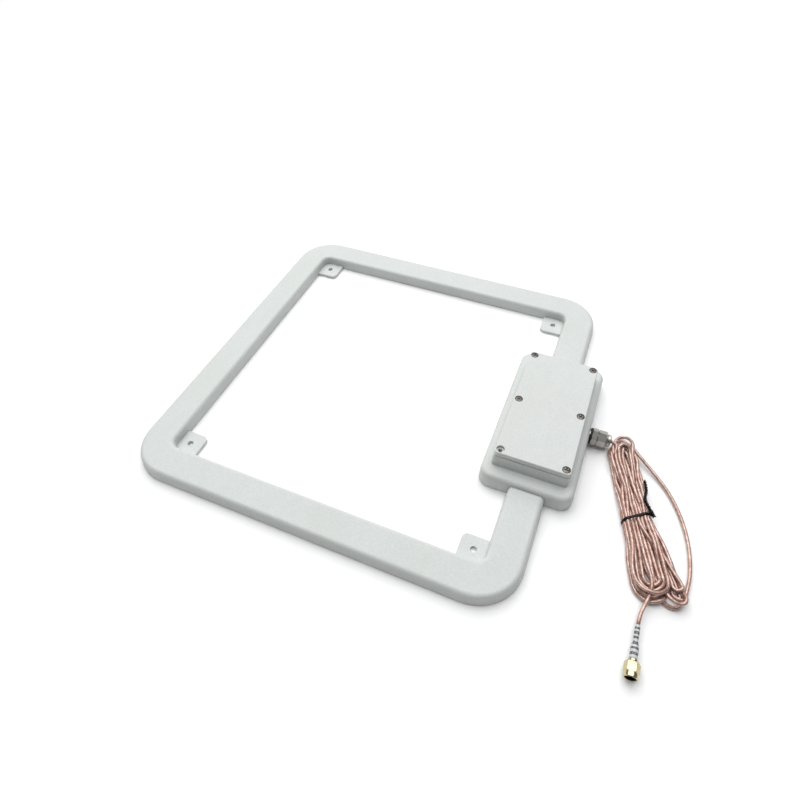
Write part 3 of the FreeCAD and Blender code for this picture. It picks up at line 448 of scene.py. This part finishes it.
def cable_mesh(name, line):
    """A round tube along the line; its map runs 0 to 1 by true length, and 0 to 1 around."""
    tangents = np.gradient(line, axis=0)
    tangents /= np.linalg.norm(tangents, axis=1)[:, None]
    side = np.cross(tangents[0], (0.0, 0.0, 1.0))
    angles = np.linspace(0, 2 * math.pi, CABLE_SIDES, endpoint=False)
    vertices = []
    for place, tangent in zip(line, tangents):
        side -= tangent * (side @ tangent)
        side /= np.linalg.norm(side)
        other = np.cross(tangent, side)
        for angle in angles:
            outward = side * math.cos(angle) + other * math.sin(angle)
            vertices.append(place + outward * CABLE_R * MM)
    along = np.concatenate([[0], np.cumsum(np.linalg.norm(np.diff(line, axis=0), axis=1))])
    along /= along[-1]
    faces, corners = [], []
    for k in range(len(line) - 1):
        for j in range(CABLE_SIDES):
            after = (j + 1) % CABLE_SIDES
            low, high = k * CABLE_SIDES, (k + 1) * CABLE_SIDES
            faces.append((low + j, low + after, high + after, high + j))
            start, end = j / CABLE_SIDES, (j + 1) / CABLE_SIDES
            corners += [(along[k], start), (along[k], end), (along[k + 1], end), (along[k + 1], start)]
    last = (len(line) - 1) * CABLE_SIDES
    for cap in (range(CABLE_SIDES - 1, -1, -1), range(last, last + CABLE_SIDES)):
        faces.append(tuple(cap))
        corners += [(0.0, 0.0)] * CABLE_SIDES
    data = bpy.data.meshes.new(name)
    data.from_pydata(vertices, [], faces)
    layer = data.uv_layers.new(name="length_and_round")
    layer.data.foreach_set("uv", np.array(corners, np.float32).ravel())
    for face in data.polygons:
        face.use_smooth = len(face.vertices) == 4
    return data


def smooth_mesh(name, bm):
    """A smooth-shaded mesh of what the bmesh holds, which is then freed."""
    bmesh.ops.recalc_face_normals(bm, faces=bm.faces)
    data = bpy.data.meshes.new(name)
    bm.to_mesh(data)
    bm.free()
    for face in data.polygons:
        face.use_smooth = True
    return data


def convex_outline(points):
    """The convex hull of flat points, counter-clockwise."""
    points = sorted(set((float(a), float(b)) for a, b in points))

    def chain(ordered):
        """One side of the hull."""
        hull = []
        for point in ordered:
            while len(hull) > 1 and turn_of(hull[-2], hull[-1], point) <= 0:
                hull.pop()
            hull.append(point)
        return hull[:-1]

    return chain(points) + chain(points[::-1])


def turn_of(a, b, c):
    """Above 0 where the path through three flat points turns left."""
    return (b[0] - a[0]) * (c[1] - a[1]) - (b[1] - a[1]) * (c[0] - a[0])


def tie_outline(points):
    """The loop that the tie makes round the strands, as (across, height) pairs."""
    offset = points - TIE_CENTRE
    along, across = offset @ TIE_NORMAL, offset @ TIE_ACROSS
    angles = np.linspace(0, 2 * math.pi, STRAND_SIDES, endpoint=False)
    around = (CABLE_R + TIE_THICK / 2) * np.column_stack([np.cos(angles), np.sin(angles)])
    spots = []
    for k in range(len(points) - 1):
        if along[k] * along[k + 1] < 0 and abs(across[k]) < TIE_REACH:
            share = along[k] / (along[k] - along[k + 1])
            middle = np.array((across[k], points[k][2])) * (1 - share)
            middle += np.array((across[k + 1], points[k + 1][2])) * share
            spots += list(middle + around)
    outline = np.array(convex_outline(spots))
    outline[:, 1] = np.maximum(outline[:, 1], TIE_THICK / 2 + FLOOR_GAP)
    closed = np.vstack([outline, outline[:1]])
    length = np.concatenate([[0], np.cumsum(np.linalg.norm(np.diff(closed, axis=0), axis=1))])
    where = np.linspace(0, length[-1], TIE_STATIONS + 1)[:-1]
    return np.column_stack([np.interp(where, length, closed[:, k]) for k in (0, 1)])


def tie_band(points):
    """One wrap of the flat tie: a rounded ribbon section carried round the outline."""
    outline = tie_outline(points)
    bm = bmesh.new()
    rings = []
    for k in range(TIE_STATIONS):
        tangent = outline[(k + 1) % TIE_STATIONS] - outline[k - 1]
        tangent /= np.linalg.norm(tangent)
        outward = np.array((tangent[1], -tangent[0]))
        shift = TIE_WOBBLE * math.sin(2 * math.pi * k / TIE_STATIONS + TIE_WOBBLE_START)
        ring = []
        for wide, thick in TIE_SECTION:
            across, height = outline[k] + outward * (thick * TIE_THICK / 2)
            spot = TIE_CENTRE + TIE_ACROSS * across + TIE_NORMAL * (wide * TIE_WIDTH / 2 + shift)
            ring.append(bm.verts.new((spot[0] * MM, spot[1] * MM, max(height, TIE_LOWEST) * MM)))
        rings.append(ring)
    for k, ring in enumerate(rings):
        following = rings[(k + 1) % TIE_STATIONS]
        for j in range(len(TIE_SECTION)):
            after = (j + 1) % len(TIE_SECTION)
            bm.faces.new((ring[j], ring[after], following[after], following[j]))
    return bm


def top_of_strands(points, place):
    """The height of the strands near a place, or 0 beside them."""
    near = np.linalg.norm(points[:, :2] - place, axis=1) < STRANDS_NEAR
    return points[near, 2].max() + CABLE_R if near.any() else 0.0


def twisted_strands(points, route, turn_length, radius):
    """The tie's two ends twisted together along a route over the strands."""
    line = even_steps([(x, y, 0.0) for x, y in route], TWIST_STEP)
    heights = np.array([top_of_strands(points, place[:2]) for place in line])
    padded = np.pad(heights, TWIST_SMOOTHING // 2, mode="edge")
    smoothed = np.convolve(padded, np.ones(TWIST_SMOOTHING) / TWIST_SMOOTHING, "valid")
    line[:, 2] = smoothed + radius * TWIST_LIFT
    strands = [[], []]
    for k, place in enumerate(line):
        ahead = line[min(k + 1, len(line) - 1)] - line[max(k - 1, 0)]
        side = np.array((-ahead[1], ahead[0], 0.0)) / np.linalg.norm(ahead[:2])
        angle = 2 * math.pi * k * TWIST_STEP / turn_length
        for which, strand in enumerate(strands):
            phase = angle + math.pi * which
            rise = np.array((0, 0, radius * math.sin(phase)))
            strand.append(place + side * (radius * math.cos(phase)) + rise)
    return strands


def sleeve_radius(share, length, wide):
    """The sleeve's radius in metres at a share of its length: a step down, and a lip at each end."""
    narrow = SLEEVE_NARROW * MM
    swell = 1 - min(1, max(0, (share - SLEEVE_STEP) / SLEEVE_STEP_SHARE))
    swell = swell * swell * (3 - 2 * swell)
    from_end = min(share, 1 - share) * length / (SLEEVE_LIP * MM)
    lip = SLEEVE_LIP_DEPTH * MM * max(0.0, 1 - from_end) ** 2
    return narrow + (wide - narrow) * swell - lip


def sleeve_mesh():
    """The marker sleeve: a shrunk tube, narrow on the cable and wide on the ferrule, faintly wrinkled."""
    low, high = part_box("marker_sleeve")
    middle = (low + high) / 2
    length = high.y - low.y
    wide = (high.x - low.x) / 2 - SLEEVE_GAP * MM
    angles = [2 * math.pi * j / SLEEVE_SIDES for j in range(SLEEVE_SIDES)]
    around, along = WRINKLE_RATE
    crease_around, crease_along = CREASE_RATE
    bm = bmesh.new()
    rings = []
    for k in range(SLEEVE_STATIONS + 1):
        share = k / SLEEVE_STATIONS
        radius = sleeve_radius(share, length, wide)
        ring = []
        for angle in angles:
            x, z = math.cos(angle), math.sin(angle)
            wrinkle = noise.noise(Vector((x * around, z * around, share * along)))
            crease = noise.noise(Vector((x * crease_around, share * crease_along, z * crease_around)))
            out = radius + (WRINKLE_DEPTH * wrinkle + CREASE_DEPTH * crease - SLEEVE_INSET) * MM
            ring.append(bm.verts.new((middle.x + out * x, low.y + length * share, middle.z + out * z)))
        rings.append(ring)
    pairs = list(zip(rings[:-1], rings[1:]))
    for ring, radius in ((rings[0], SLEEVE_NARROW * MM), (rings[-1], CABLE_R * MM)):
        inner = []
        for angle in angles:
            x, z = middle.x + radius * math.cos(angle), middle.z + radius * math.sin(angle)
            inner.append(bm.verts.new((x, ring[0].co.y, z)))
        bm.faces.new(inner)
        pairs.append((ring, inner))
    for lower, upper in pairs:
        for j in range(SLEEVE_SIDES):
            after = (j + 1) % SLEEVE_SIDES
            bm.faces.new((lower[j], lower[after], upper[after], upper[j]))
    return smooth_mesh("marker_sleeve_skin", bm)


# ---------------------------------------------------------------- finishes
class Finish:
    """A procedural material: one Principled shader fed by textures with sizes in millimetres."""

    def __init__(self, name, colour, roughness, metallic=0.0, **sockets):
        self.material = bpy.data.materials.new(name + "_finish")
        self.material.use_nodes = True
        self.material.diffuse_color = (*colour, 1.0)
        self.tree = self.material.node_tree
        self.shader = self.tree.nodes["Principled BSDF"]
        self.set("Base Color", (*colour, 1.0))
        self.set("Roughness", roughness)
        self.set("Metallic", metallic)
        for socket, value in sockets.items():
            self.set(socket.replace("_", " "), value)
        self.place = self.node("ShaderNodeTexCoord")

    def node(self, kind, **settings):
        """A new node with its settings."""
        made = self.tree.nodes.new(kind)
        for setting, value in settings.items():
            setattr(made, setting, value)
        return made

    def set(self, socket, value):
        """Sets one of the shader's own values."""
        self.shader.inputs[socket].default_value = value

    def join(self, output, target):
        """Links an output to a node's input, or sets the input where a number is given."""
        if isinstance(output, (int, float)):
            target.default_value = output
        else:
            self.tree.links.new(output, target)

    def feed(self, socket, output):
        """Links an output to one of the shader's inputs."""
        self.join(output, self.shader.inputs[socket])

    def maths(self, kind, first, second=0.0):
        """One step of arithmetic on outputs or numbers."""
        made = self.node("ShaderNodeMath", operation=kind)
        for socket, value in zip(made.inputs, (first, second, 0.0)):
            self.join(value, socket)
        return made.outputs[0]

    def noise(self, size, detail=3.0, roughness=0.55, warp=0.0):
        """Noise between 0 and 1, its size in millimetres given once, or once for each axis."""
        sizes = size if isinstance(size, tuple) else (size, size, size)
        scale = self.node("ShaderNodeMapping")
        scale.inputs["Scale"].default_value = [1 / (each * MM) for each in sizes]
        self.join(self.place.outputs["Object"], scale.inputs["Vector"])
        made = self.node("ShaderNodeTexNoise")
        made.inputs["Scale"].default_value = 1.0
        made.inputs["Detail"].default_value = detail
        made.inputs["Roughness"].default_value = roughness
        made.inputs["Distortion"].default_value = warp
        self.join(scale.outputs["Vector"], made.inputs["Vector"])
        return made.outputs["Fac"]

    def range(self, value, low, high, to_low, to_high):
        """Spreads low to high over to_low to to_high, and holds the ends."""
        made = self.node("ShaderNodeMapRange", clamp=True)
        for name, number in (("From Min", low), ("From Max", high), ("To Min", to_low), ("To Max", to_high)):
            made.inputs[name].default_value = number
        self.join(value, made.inputs["Value"])
        return made.outputs["Result"]

    def blend(self, share, first, second, kind="MIX"):
        """From the first colour to the second by the share, where a colour is a tuple or an output."""
        made = self.node("ShaderNodeMix", data_type="RGBA", blend_type=kind)
        self.join(share, made.inputs[0])
        for socket, colour in ((made.inputs[6], first), (made.inputs[7], second)):
            if isinstance(colour, tuple):
                socket.default_value = (*colour, 1.0)
            else:
                self.join(colour, socket)
        return made.outputs[2]

    def bump(self, height, depth):
        """Adds relief of a depth in millimetres to whatever relief there is already."""
        made = self.node("ShaderNodeBump")
        made.inputs["Distance"].default_value = depth * MM
        self.join(height, made.inputs["Height"])
        normal = self.shader.inputs["Normal"]
        if normal.is_linked:
            self.join(normal.links[0].from_socket, made.inputs["Normal"])
        self.join(made.outputs["Normal"], normal)


def shade(colour, factor):
    """The colour made darker or lighter."""
    return tuple(min(1.0, channel * factor) for channel in colour)


def moulded_plastic(name, colour, speck=1.1, contrast=0.06, grain=0.5, depth=0.05, roughness=0.5):
    """Moulded plastic with a fine spark-eroded grain, faint clouding, and scuffs that shine."""
    finish = Finish(name, colour, roughness, Specular_IOR_Level=0.35)
    fine = finish.range(finish.noise(speck, 2.0, 0.7), 0.34, 0.66, 0.0, 1.0)
    tone = finish.blend(fine, shade(colour, 1 - contrast), shade(colour, 1 + contrast * 0.7))
    cloud = finish.range(finish.noise(70.0, 2.0), 0.35, 0.65, 0.0, 1.0)
    warmer = finish.blend(1.0, tone, (0.985, 0.98, 0.965), "MULTIPLY")
    tone = finish.blend(cloud, tone, warmer)
    finish.feed("Base Color", tone)
    scuff = finish.noise((6.0, 26.0, 6.0), 5.0, 0.7, 1.2)
    finish.feed("Roughness", finish.range(scuff, 0.3, 0.68, roughness - 0.12, roughness + 0.12))
    finish.bump(finish.noise(grain, 2.0, 0.6), depth)
    finish.bump(finish.noise(7.0, 1.0), 0.03)
    return finish.material


def turned_metal(name, colour, dark, axis, roughness=0.28, line=0.16, depth=0.012, stain=0.35, bore=None):
    """Plated metal with turning lines square to an axis, smears, tarnish in patches, and painted shade
    inside a bore where one is given.
    """
    finish = Finish(name, colour, roughness, 1.0)
    long_way = 9.0
    sizes = [long_way, long_way, long_way]
    sizes["XYZ".index(axis)] = line
    lines = finish.noise(tuple(sizes), 2.0, 0.6)
    tarnish = finish.range(finish.noise(2.4, 5.0, 0.6), 0.40, 0.80, 0.0, stain)
    tone = finish.blend(tarnish, colour, dark)
    if bore:
        # Painted shade: inside the bore's radius the colour is painted near black, standing in for the shade
        # in the threads.
        tone = finish.blend(bore_shade_mask(finish, *bore), tone, shade(dark, 0.25))
    finish.feed("Base Color", tone)
    smear = finish.noise(0.9, 4.0, 0.6, 0.8)
    finish.feed("Roughness", finish.range(smear, 0.3, 0.7, roughness - 0.04, roughness + 0.1))
    finish.bump(lines, depth)
    finish.bump(finish.noise(1.5, 2.0), depth)
    return finish.material


def bore_shade_mask(finish, axis_x, axis_z, radius):
    """1 nearer than the radius to an axis along Y, and 0 outside it: where the bore's painted shade goes."""
    split = finish.node("ShaderNodeSeparateXYZ")
    finish.join(finish.place.outputs["Object"], split.inputs[0])
    off_x = finish.maths("SUBTRACT", split.outputs["X"], axis_x)
    off_z = finish.maths("SUBTRACT", split.outputs["Z"], axis_z)
    square_x = finish.maths("MULTIPLY", off_x, off_x)
    square_z = finish.maths("MULTIPLY", off_z, off_z)
    distance = finish.maths("SQRT", finish.maths("ADD", square_x, square_z))
    return finish.maths("LESS_THAN", distance, radius)


def rubber(name, colour, roughness=0.62):
    """Matt rubber with a little pale dust."""
    finish = Finish(name, colour, roughness, Specular_IOR_Level=0.3)
    dust = finish.range(finish.noise(2.2, 5.0, 0.7), 0.52, 0.75, 0.0, 0.5)
    finish.feed("Base Color", finish.blend(dust, colour, shade(colour, 1.6)))
    smear = finish.noise(1.0, 4.0)
    finish.feed("Roughness", finish.range(smear, 0.3, 0.7, roughness - 0.1, roughness + 0.15))
    finish.bump(finish.noise(0.25, 2.0), 0.02)
    return finish.material


def wire_copper(name):
    """Enamelled copper: bright where it is rubbed, browner elsewhere, with drawn lines."""
    bright, brown = (0.80, 0.36, 0.20), (0.42, 0.15, 0.08)
    finish = Finish(name, bright, 0.3, 1.0, Coat_Weight=0.4)
    age = finish.range(finish.noise(8.0, 5.0, 0.7, 0.6), 0.38, 0.68, 0.0, 0.8)
    finish.feed("Base Color", finish.blend(age, bright, brown))
    finish.feed("Roughness", finish.range(finish.noise(1.2, 4.0), 0.3, 0.7, 0.2, 0.45))
    finish.bump(finish.noise((0.2, 3.0, 0.2), 2.0), 0.01)
    return finish.material


def printed_board(name):
    """Green solder mask over copper tracks, with tinned pads."""
    mask, over_copper, tin = (0.012, 0.16, 0.07), (0.03, 0.30, 0.13), (0.62, 0.62, 0.58)
    cell = 5.5
    finish = Finish(name, mask, 0.32, Coat_Weight=0.5)
    scale = finish.node("ShaderNodeMapping")
    scale.inputs["Scale"].default_value = [1 / (cell * MM)] * 3
    finish.join(finish.place.outputs["Object"], scale.inputs["Vector"])
    rows = finish.node("ShaderNodeTexBrick", offset=0.37, offset_frequency=3, squash=1.6, squash_frequency=2)
    for socket, value in (("Scale", 1.0), ("Mortar Size", 0.05), ("Brick Width", 2.3), ("Row Height", 0.62)):
        rows.inputs[socket].default_value = value
    finish.join(scale.outputs["Vector"], rows.inputs["Vector"])
    track = rows.outputs["Fac"]
    dots = finish.node("ShaderNodeTexVoronoi")
    dots.inputs["Scale"].default_value = 1.0
    dots.inputs["Randomness"].default_value = 0.25
    finish.join(scale.outputs["Vector"], dots.inputs["Vector"])
    pad = finish.range(dots.outputs["Distance"], 0.13, 0.15, 1.0, 0.0)
    finish.feed("Base Color", finish.blend(pad, finish.blend(track, mask, over_copper), tin))
    finish.feed("Metallic", finish.range(pad, 0.0, 1.0, 0.0, 0.9))
    finish.bump(track, 0.035)
    finish.bump(finish.noise(0.4, 2.0), 0.01)
    return finish.material


def fired_ceramic(name, colour):
    """Glazed ceramic with fine dark specks."""
    finish = Finish(name, colour, 0.34, Coat_Weight=0.3, Coat_Roughness=0.2)
    specks = finish.range(finish.noise(0.5, 3.0, 0.7), 0.6, 0.7, 0.0, 0.5)
    finish.feed("Base Color", finish.blend(specks, colour, shade(colour, 0.7)))
    finish.feed("Roughness", finish.range(finish.noise(1.5, 3.0), 0.3, 0.7, 0.25, 0.45))
    finish.bump(finish.noise(0.7, 3.0), 0.02)
    return finish.material


def pressed_ferrite(name):
    """Dark pressed powder with a coarse grain."""
    colour, pale = (0.035, 0.034, 0.036), (0.10, 0.098, 0.10)
    finish = Finish(name, colour, 0.55, 0.2)
    fine = finish.range(finish.noise(0.35, 4.0, 0.75), 0.4, 0.7, 0.0, 1.0)
    finish.feed("Base Color", finish.blend(fine, colour, pale))
    finish.feed("Roughness", finish.range(fine, 0.0, 1.0, 0.42, 0.7))
    finish.bump(finish.noise(0.3, 4.0), 0.03)
    return finish.material


def dipped_resin(name, colour):
    """A dipped coat: glossy, pooled thicker in places."""
    finish = Finish(name, colour, 0.25, Coat_Weight=0.7, Coat_Roughness=0.08)
    pool = finish.range(finish.noise(2.5, 3.0, 0.6, 0.4), 0.35, 0.7, 0.0, 1.0)
    finish.feed("Base Color", finish.blend(pool, colour, shade(colour, 0.6)))
    finish.feed("Roughness", finish.range(pool, 0.0, 1.0, 0.2, 0.38))
    finish.bump(finish.noise(1.4, 2.0), 0.06)
    return finish.material


def banded_coat(name):
    """The resistor's buff coat with plain colour bands across its length."""
    buff = (0.62, 0.42, 0.24)
    bands = ((0.38, (0.30, 0.02, 0.02)), (0.46, (0.02, 0.02, 0.25)), (0.54, (0.02, 0.02, 0.02)),
             (0.64, (0.55, 0.36, 0.05)))
    half_band = 0.018
    finish = Finish(name, buff, 0.35, Coat_Weight=0.4)
    low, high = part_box("damping_resistor")
    lengths = high - low
    axis = max(range(3), key=lambda k: lengths[k])
    split = finish.node("ShaderNodeSeparateXYZ")
    finish.join(finish.place.outputs["Object"], split.inputs[0])
    along = finish.range(split.outputs[axis], low[axis], high[axis], 0.0, 1.0)
    tone = buff
    for centre, colour in bands:
        gap = finish.maths("ABSOLUTE", finish.maths("SUBTRACT", along, centre))
        tone = finish.blend(finish.maths("LESS_THAN", gap, half_band), tone, colour)
    finish.feed("Base Color", tone)
    finish.bump(finish.noise(0.6, 3.0), 0.03)
    return finish.material


def braided_cable(name, length):
    """A thin tan jacket over a woven shield: eight carriers each way, following the cable's own map, with
    painted shade in the weave's hollows.
    """
    # The gap colour is painted shade. The weave is the braid's real pattern, but its hollows are painted
    # near black-red to stand in for the shade between the carriers.
    strand, gap, tan = (0.90, 0.77, 0.69), (0.13, 0.036, 0.022), (0.36, 0.150, 0.102)
    finish = Finish(name, tan, 0.3, 0.5, Coat_Weight=0.9, Coat_Roughness=0.2)
    split = finish.node("ShaderNodeSeparateXYZ")
    finish.join(finish.place.outputs["UV"], split.inputs[0])
    lengthwise = finish.maths("MULTIPLY", split.outputs["X"], BRAID_CARRIERS * length / BRAID_PITCH)
    round_it = finish.maths("MULTIPLY", split.outputs["Y"], float(BRAID_CARRIERS))
    left = finish.maths("ADD", lengthwise, round_it)
    right = finish.maths("SUBTRACT", lengthwise, round_it)
    crowns = []
    for way in (left, right):
        across = finish.maths("SUBTRACT", finish.maths("FRACT", way), 0.5)
        slope = finish.maths("MULTIPLY", finish.maths("ABSOLUTE", across), 2.0)
        crowns.append(finish.maths("SUBTRACT", 1.0, slope))
    floors = finish.maths("ADD", finish.maths("FLOOR", left), finish.maths("FLOOR", right))
    over = finish.maths("PINGPONG", floors, 1.0)
    under = finish.maths("SUBTRACT", 1.0, over)
    left_height = finish.maths("MULTIPLY", crowns[0], over)
    right_height = finish.maths("MULTIPLY", crowns[1], under)
    height = finish.maths("ADD", left_height, right_height)
    weave = finish.range(height, 0.05, 0.6, 0.0, 1.0)
    patch = finish.range(finish.noise(3.2, 4.0, 0.65), 0.34, 0.7, 0.0, 1.0)
    # Painted shade: where the weave is low it takes the dark gap colour, and the crowns take the strand
    # colour.
    woven = finish.blend(weave, gap, finish.blend(patch, strand, tan))
    haze = finish.range(finish.noise(14.0, 3.0), 0.35, 0.65, 0.15, 0.45)
    finish.feed("Base Color", finish.blend(haze, woven, tan))
    finish.feed("Metallic", finish.range(weave, 0.0, 1.0, 0.1, 0.75))
    finish.feed("Roughness", finish.range(finish.noise(1.4, 4.0), 0.3, 0.7, 0.2, 0.42))
    finish.bump(weave, 0.035)
    finish.bump(finish.noise(0.8, 3.0), 0.02)
    return finish.material


def glossy_tie(name):
    """Black plastic over wire, rubbed paler in places."""
    colour, pale = (0.004, 0.004, 0.0045), (0.025, 0.025, 0.027)
    finish = Finish(name, colour, 0.3, Specular_IOR_Level=0.22)
    rubbed = finish.range(finish.noise(0.8, 4.0, 0.7, 0.4), 0.55, 0.75, 0.0, 0.6)
    finish.feed("Base Color", finish.blend(rubbed, colour, pale))
    finish.feed("Roughness", finish.range(finish.noise(0.6, 4.0), 0.3, 0.7, 0.22, 0.5))
    finish.bump(finish.noise((1.0, 1.0, 0.4), 3.0), 0.03)
    return finish.material


def marked_sleeve(name):
    """White shrink tube with plain bands of dark ink, worn thin in places."""
    white, ink = (0.58, 0.60, 0.60), (0.03, 0.033, 0.04)
    finish = Finish(name, white, 0.38, Coat_Weight=0.15)
    low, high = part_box("marker_sleeve")
    split = finish.node("ShaderNodeSeparateXYZ")
    finish.join(finish.place.outputs["Object"], split.inputs[0])
    grime = finish.range(finish.noise(2.0, 4.0), 0.4, 0.7, 0.0, 1.0)
    tone = finish.blend(grime, white, shade(white, 0.86))
    kept_ink = finish.range(finish.noise(0.6, 3.0, 0.7), 0.34, 0.42, 0.0, 0.9)
    for share, half in SLEEVE_MARKS:
        centre = low.y + (high.y - low.y) * share
        gap = finish.maths("ABSOLUTE", finish.maths("SUBTRACT", split.outputs["Y"], centre))
        band = finish.maths("LESS_THAN", gap, half * MM)
        tone = finish.blend(finish.maths("MULTIPLY", band, kept_ink), tone, ink)
    finish.feed("Base Color", tone)
    finish.feed("Roughness", finish.range(finish.noise(1.0, 4.0), 0.3, 0.7, 0.28, 0.5))
    finish.bump(finish.noise((1.6, 0.8, 1.6), 3.0), 0.05)
    return finish.material


def waxy_insulator(name):
    """Milky insulator that lets a little light in."""
    colour = (0.86, 0.86, 0.83)
    finish = Finish(name, colour, 0.42, Subsurface_Weight=0.2)
    finish.feed("Base Color", finish.blend(finish.noise(0.9, 3.0), colour, shade(colour, 0.88)))
    finish.bump(finish.noise(0.3, 2.0), 0.015)
    return finish.material


def make_finishes(cable_length):
    """One finish for each material slot of the record, and one for the coupling nut, with painted shade in
    its threaded bore.
    """
    low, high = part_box("coupling_nut")
    middle = (low + high) / 2
    # Where the coupling nut's bore is painted in shade: its axis and radius.
    bore = (middle.x, middle.z, NUT_BORE_R * MM)
    steel, black_oxide = (0.17, 0.155, 0.14), (0.03, 0.026, 0.022)
    nickel, dull_nickel = (0.42, 0.405, 0.375), (0.24, 0.225, 0.20)
    silver, tarnish = (0.76, 0.74, 0.70), (0.30, 0.26, 0.20)
    return {
        "coupling_nut": turned_metal("coupling_nut", GOLD, OLIVE, "Y", 0.2, 0.16, 0.003, 0.45, bore),
        "white_plastic": moulded_plastic("white_plastic", WHITE),
        "box_plastic": moulded_plastic("box_plastic", BOX_WHITE, 0.9, 0.07, 0.42, 0.06, 0.48),
        "clip_plastic": moulded_plastic("clip_plastic", (0.60, 0.60, 0.55), 0.6, 0.05, 0.3, 0.02, 0.4),
        "screw_steel": turned_metal("screw_steel", steel, black_oxide, "Z", 0.36, 0.3, 0.006, 0.8),
        "copper": wire_copper("copper"),
        "black_rubber": rubber("black_rubber", (0.016, 0.016, 0.017)),
        "silicone_grey": rubber("silicone_grey", (0.34, 0.35, 0.35), 0.5),
        "circuit_board": printed_board("circuit_board"),
        "ceramic": fired_ceramic("ceramic", (0.74, 0.68, 0.55)),
        "rotor_silver": turned_metal("rotor_silver", silver, tarnish, "Z", 0.25),
        "ferrite": pressed_ferrite("ferrite"),
        "capacitor_resin": dipped_resin("capacitor_resin", (0.60, 0.22, 0.05)),
        "resistor_coat": banded_coat("resistor_coat"),
        "gland_nickel": turned_metal("gland_nickel", nickel, dull_nickel, "X", 0.3, 0.14, 0.0008, 0.4),
        "coax_jacket": braided_cable("coax_jacket", cable_length),
        "tie_plastic": glossy_tie("tie_plastic"),
        "sleeve_white": marked_sleeve("sleeve_white"),
        "plug_gold": turned_metal("plug_gold", GOLD, OLIVE, "Y", 0.2, 0.16, 0.003, 0.45),
        "ptfe": waxy_insulator("ptfe"),
    }


# ---------------------------------------------------------------- stage
FLOOR_R = 1.35
FLOOR_PLACE = (0.05, 0.1, -0.0003)
FLOOR_WHITE = (0.97, 0.97, 0.97, 1)
FILL_COLOUR = (0.96, 0.98, 1.0, 1)
FILL_STRENGTH = 0.20


def make_stage():
    """A round pale floor, a little below the part so that the two don't flicker."""
    bm = bmesh.new()
    bmesh.ops.create_circle(bm, cap_ends=True, segments=128, radius=FLOOR_R)
    data = bpy.data.meshes.new("floor")
    bm.to_mesh(data)
    bm.free()
    floor = bpy.data.objects.new("floor", data)
    floor.location = FLOOR_PLACE
    scene.collection.objects.link(floor)
    material = bpy.data.materials.new("floor_white")
    material.use_nodes = True
    shader = material.node_tree.nodes["Principled BSDF"]
    shader.inputs["Base Color"].default_value = FLOOR_WHITE
    shader.inputs["Roughness"].default_value = 0.95
    shader.inputs["Specular IOR Level"].default_value = 0.1
    data.materials.append(material)


def area_light(name, place, target, size, power):
    """A rectangular light at a place, facing a target."""
    data = bpy.data.lights.new(name, "AREA")
    data.shape = "RECTANGLE"
    data.size, data.size_y = size
    data.energy = power
    lamp = bpy.data.objects.new(name, data)
    lamp.location = place
    lamp.rotation_euler = (Vector(target) - Vector(place)).to_track_quat("-Z", "Y").to_euler()
    scene.collection.objects.link(lamp)


def make_light():
    """One large softbox, a weak fill from all round, and a white backdrop that lights nothing."""
    area_light("softbox", place=(-0.75, 1.2, 2.3), target=(-0.4, 0.3, 0.0), size=(4.0, 4.0), power=140)
    world = bpy.data.worlds.new("studio")
    world.use_nodes = True
    tree = world.node_tree
    fill = tree.nodes["Background"]
    fill.inputs["Color"].default_value = FILL_COLOUR
    fill.inputs["Strength"].default_value = FILL_STRENGTH
    backdrop = tree.nodes.new("ShaderNodeBackground")
    backdrop.inputs["Color"].default_value = (1, 1, 1, 1)
    backdrop.inputs["Strength"].default_value = 1.0
    seen = tree.nodes.new("ShaderNodeLightPath")
    either = tree.nodes.new("ShaderNodeMixShader")
    tree.links.new(seen.outputs["Is Camera Ray"], either.inputs[0])
    tree.links.new(fill.outputs[0], either.inputs[1])
    tree.links.new(backdrop.outputs[0], either.inputs[2])
    tree.links.new(either.outputs[0], tree.nodes["World Output"].inputs["Surface"])
    scene.world = world
    scene.view_settings.view_transform = "Standard"


# ---------------------------------------------------------------- the object
make_camera()
route = cable_points()
line = centreline("coax_line", route)
cable_length = float(np.linalg.norm(np.diff(line, axis=0), axis=1).sum())
finishes = make_finishes(cable_length / MM)

tube = cable_mesh("coax_cable", line)
cable = add_object("coax_cable", tube, "antenna", finishes["coax_jacket"])
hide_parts("coax_lead_in", "coax_hank", "coax_side_turn", "coax_tail")

skin = sleeve_mesh()
sleeve = add_object("marker_sleeve_skin", skin, "antenna", finishes["sleeve_white"])
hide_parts("marker_sleeve")

wrap = smooth_mesh("tie_band", tie_band(route))
band = add_object("tie_band", wrap, "antenna", finishes["tie_plastic"])
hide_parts("twist_tie")

strands = twisted_strands(route, TIE_END, TIE_END_TWIST, TIE_END_R)
strands += twisted_strands(route, TIE_KNOT, TIE_KNOT_TWIST, TIE_KNOT_R)
wires = tube_curve("tie_ends", strands, TIE_WIRE_R, TIE_WIRE_TAPER)
add_object("tie_ends", wires, "antenna", finishes["tie_plastic"])

# A node's own finish comes first, then its slot's.
for name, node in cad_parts.items():
    for holder in node.material_slots:
        holder.material = finishes.get(name, finishes[holder.material.name.split(".")[0]])

make_stage()
make_light()
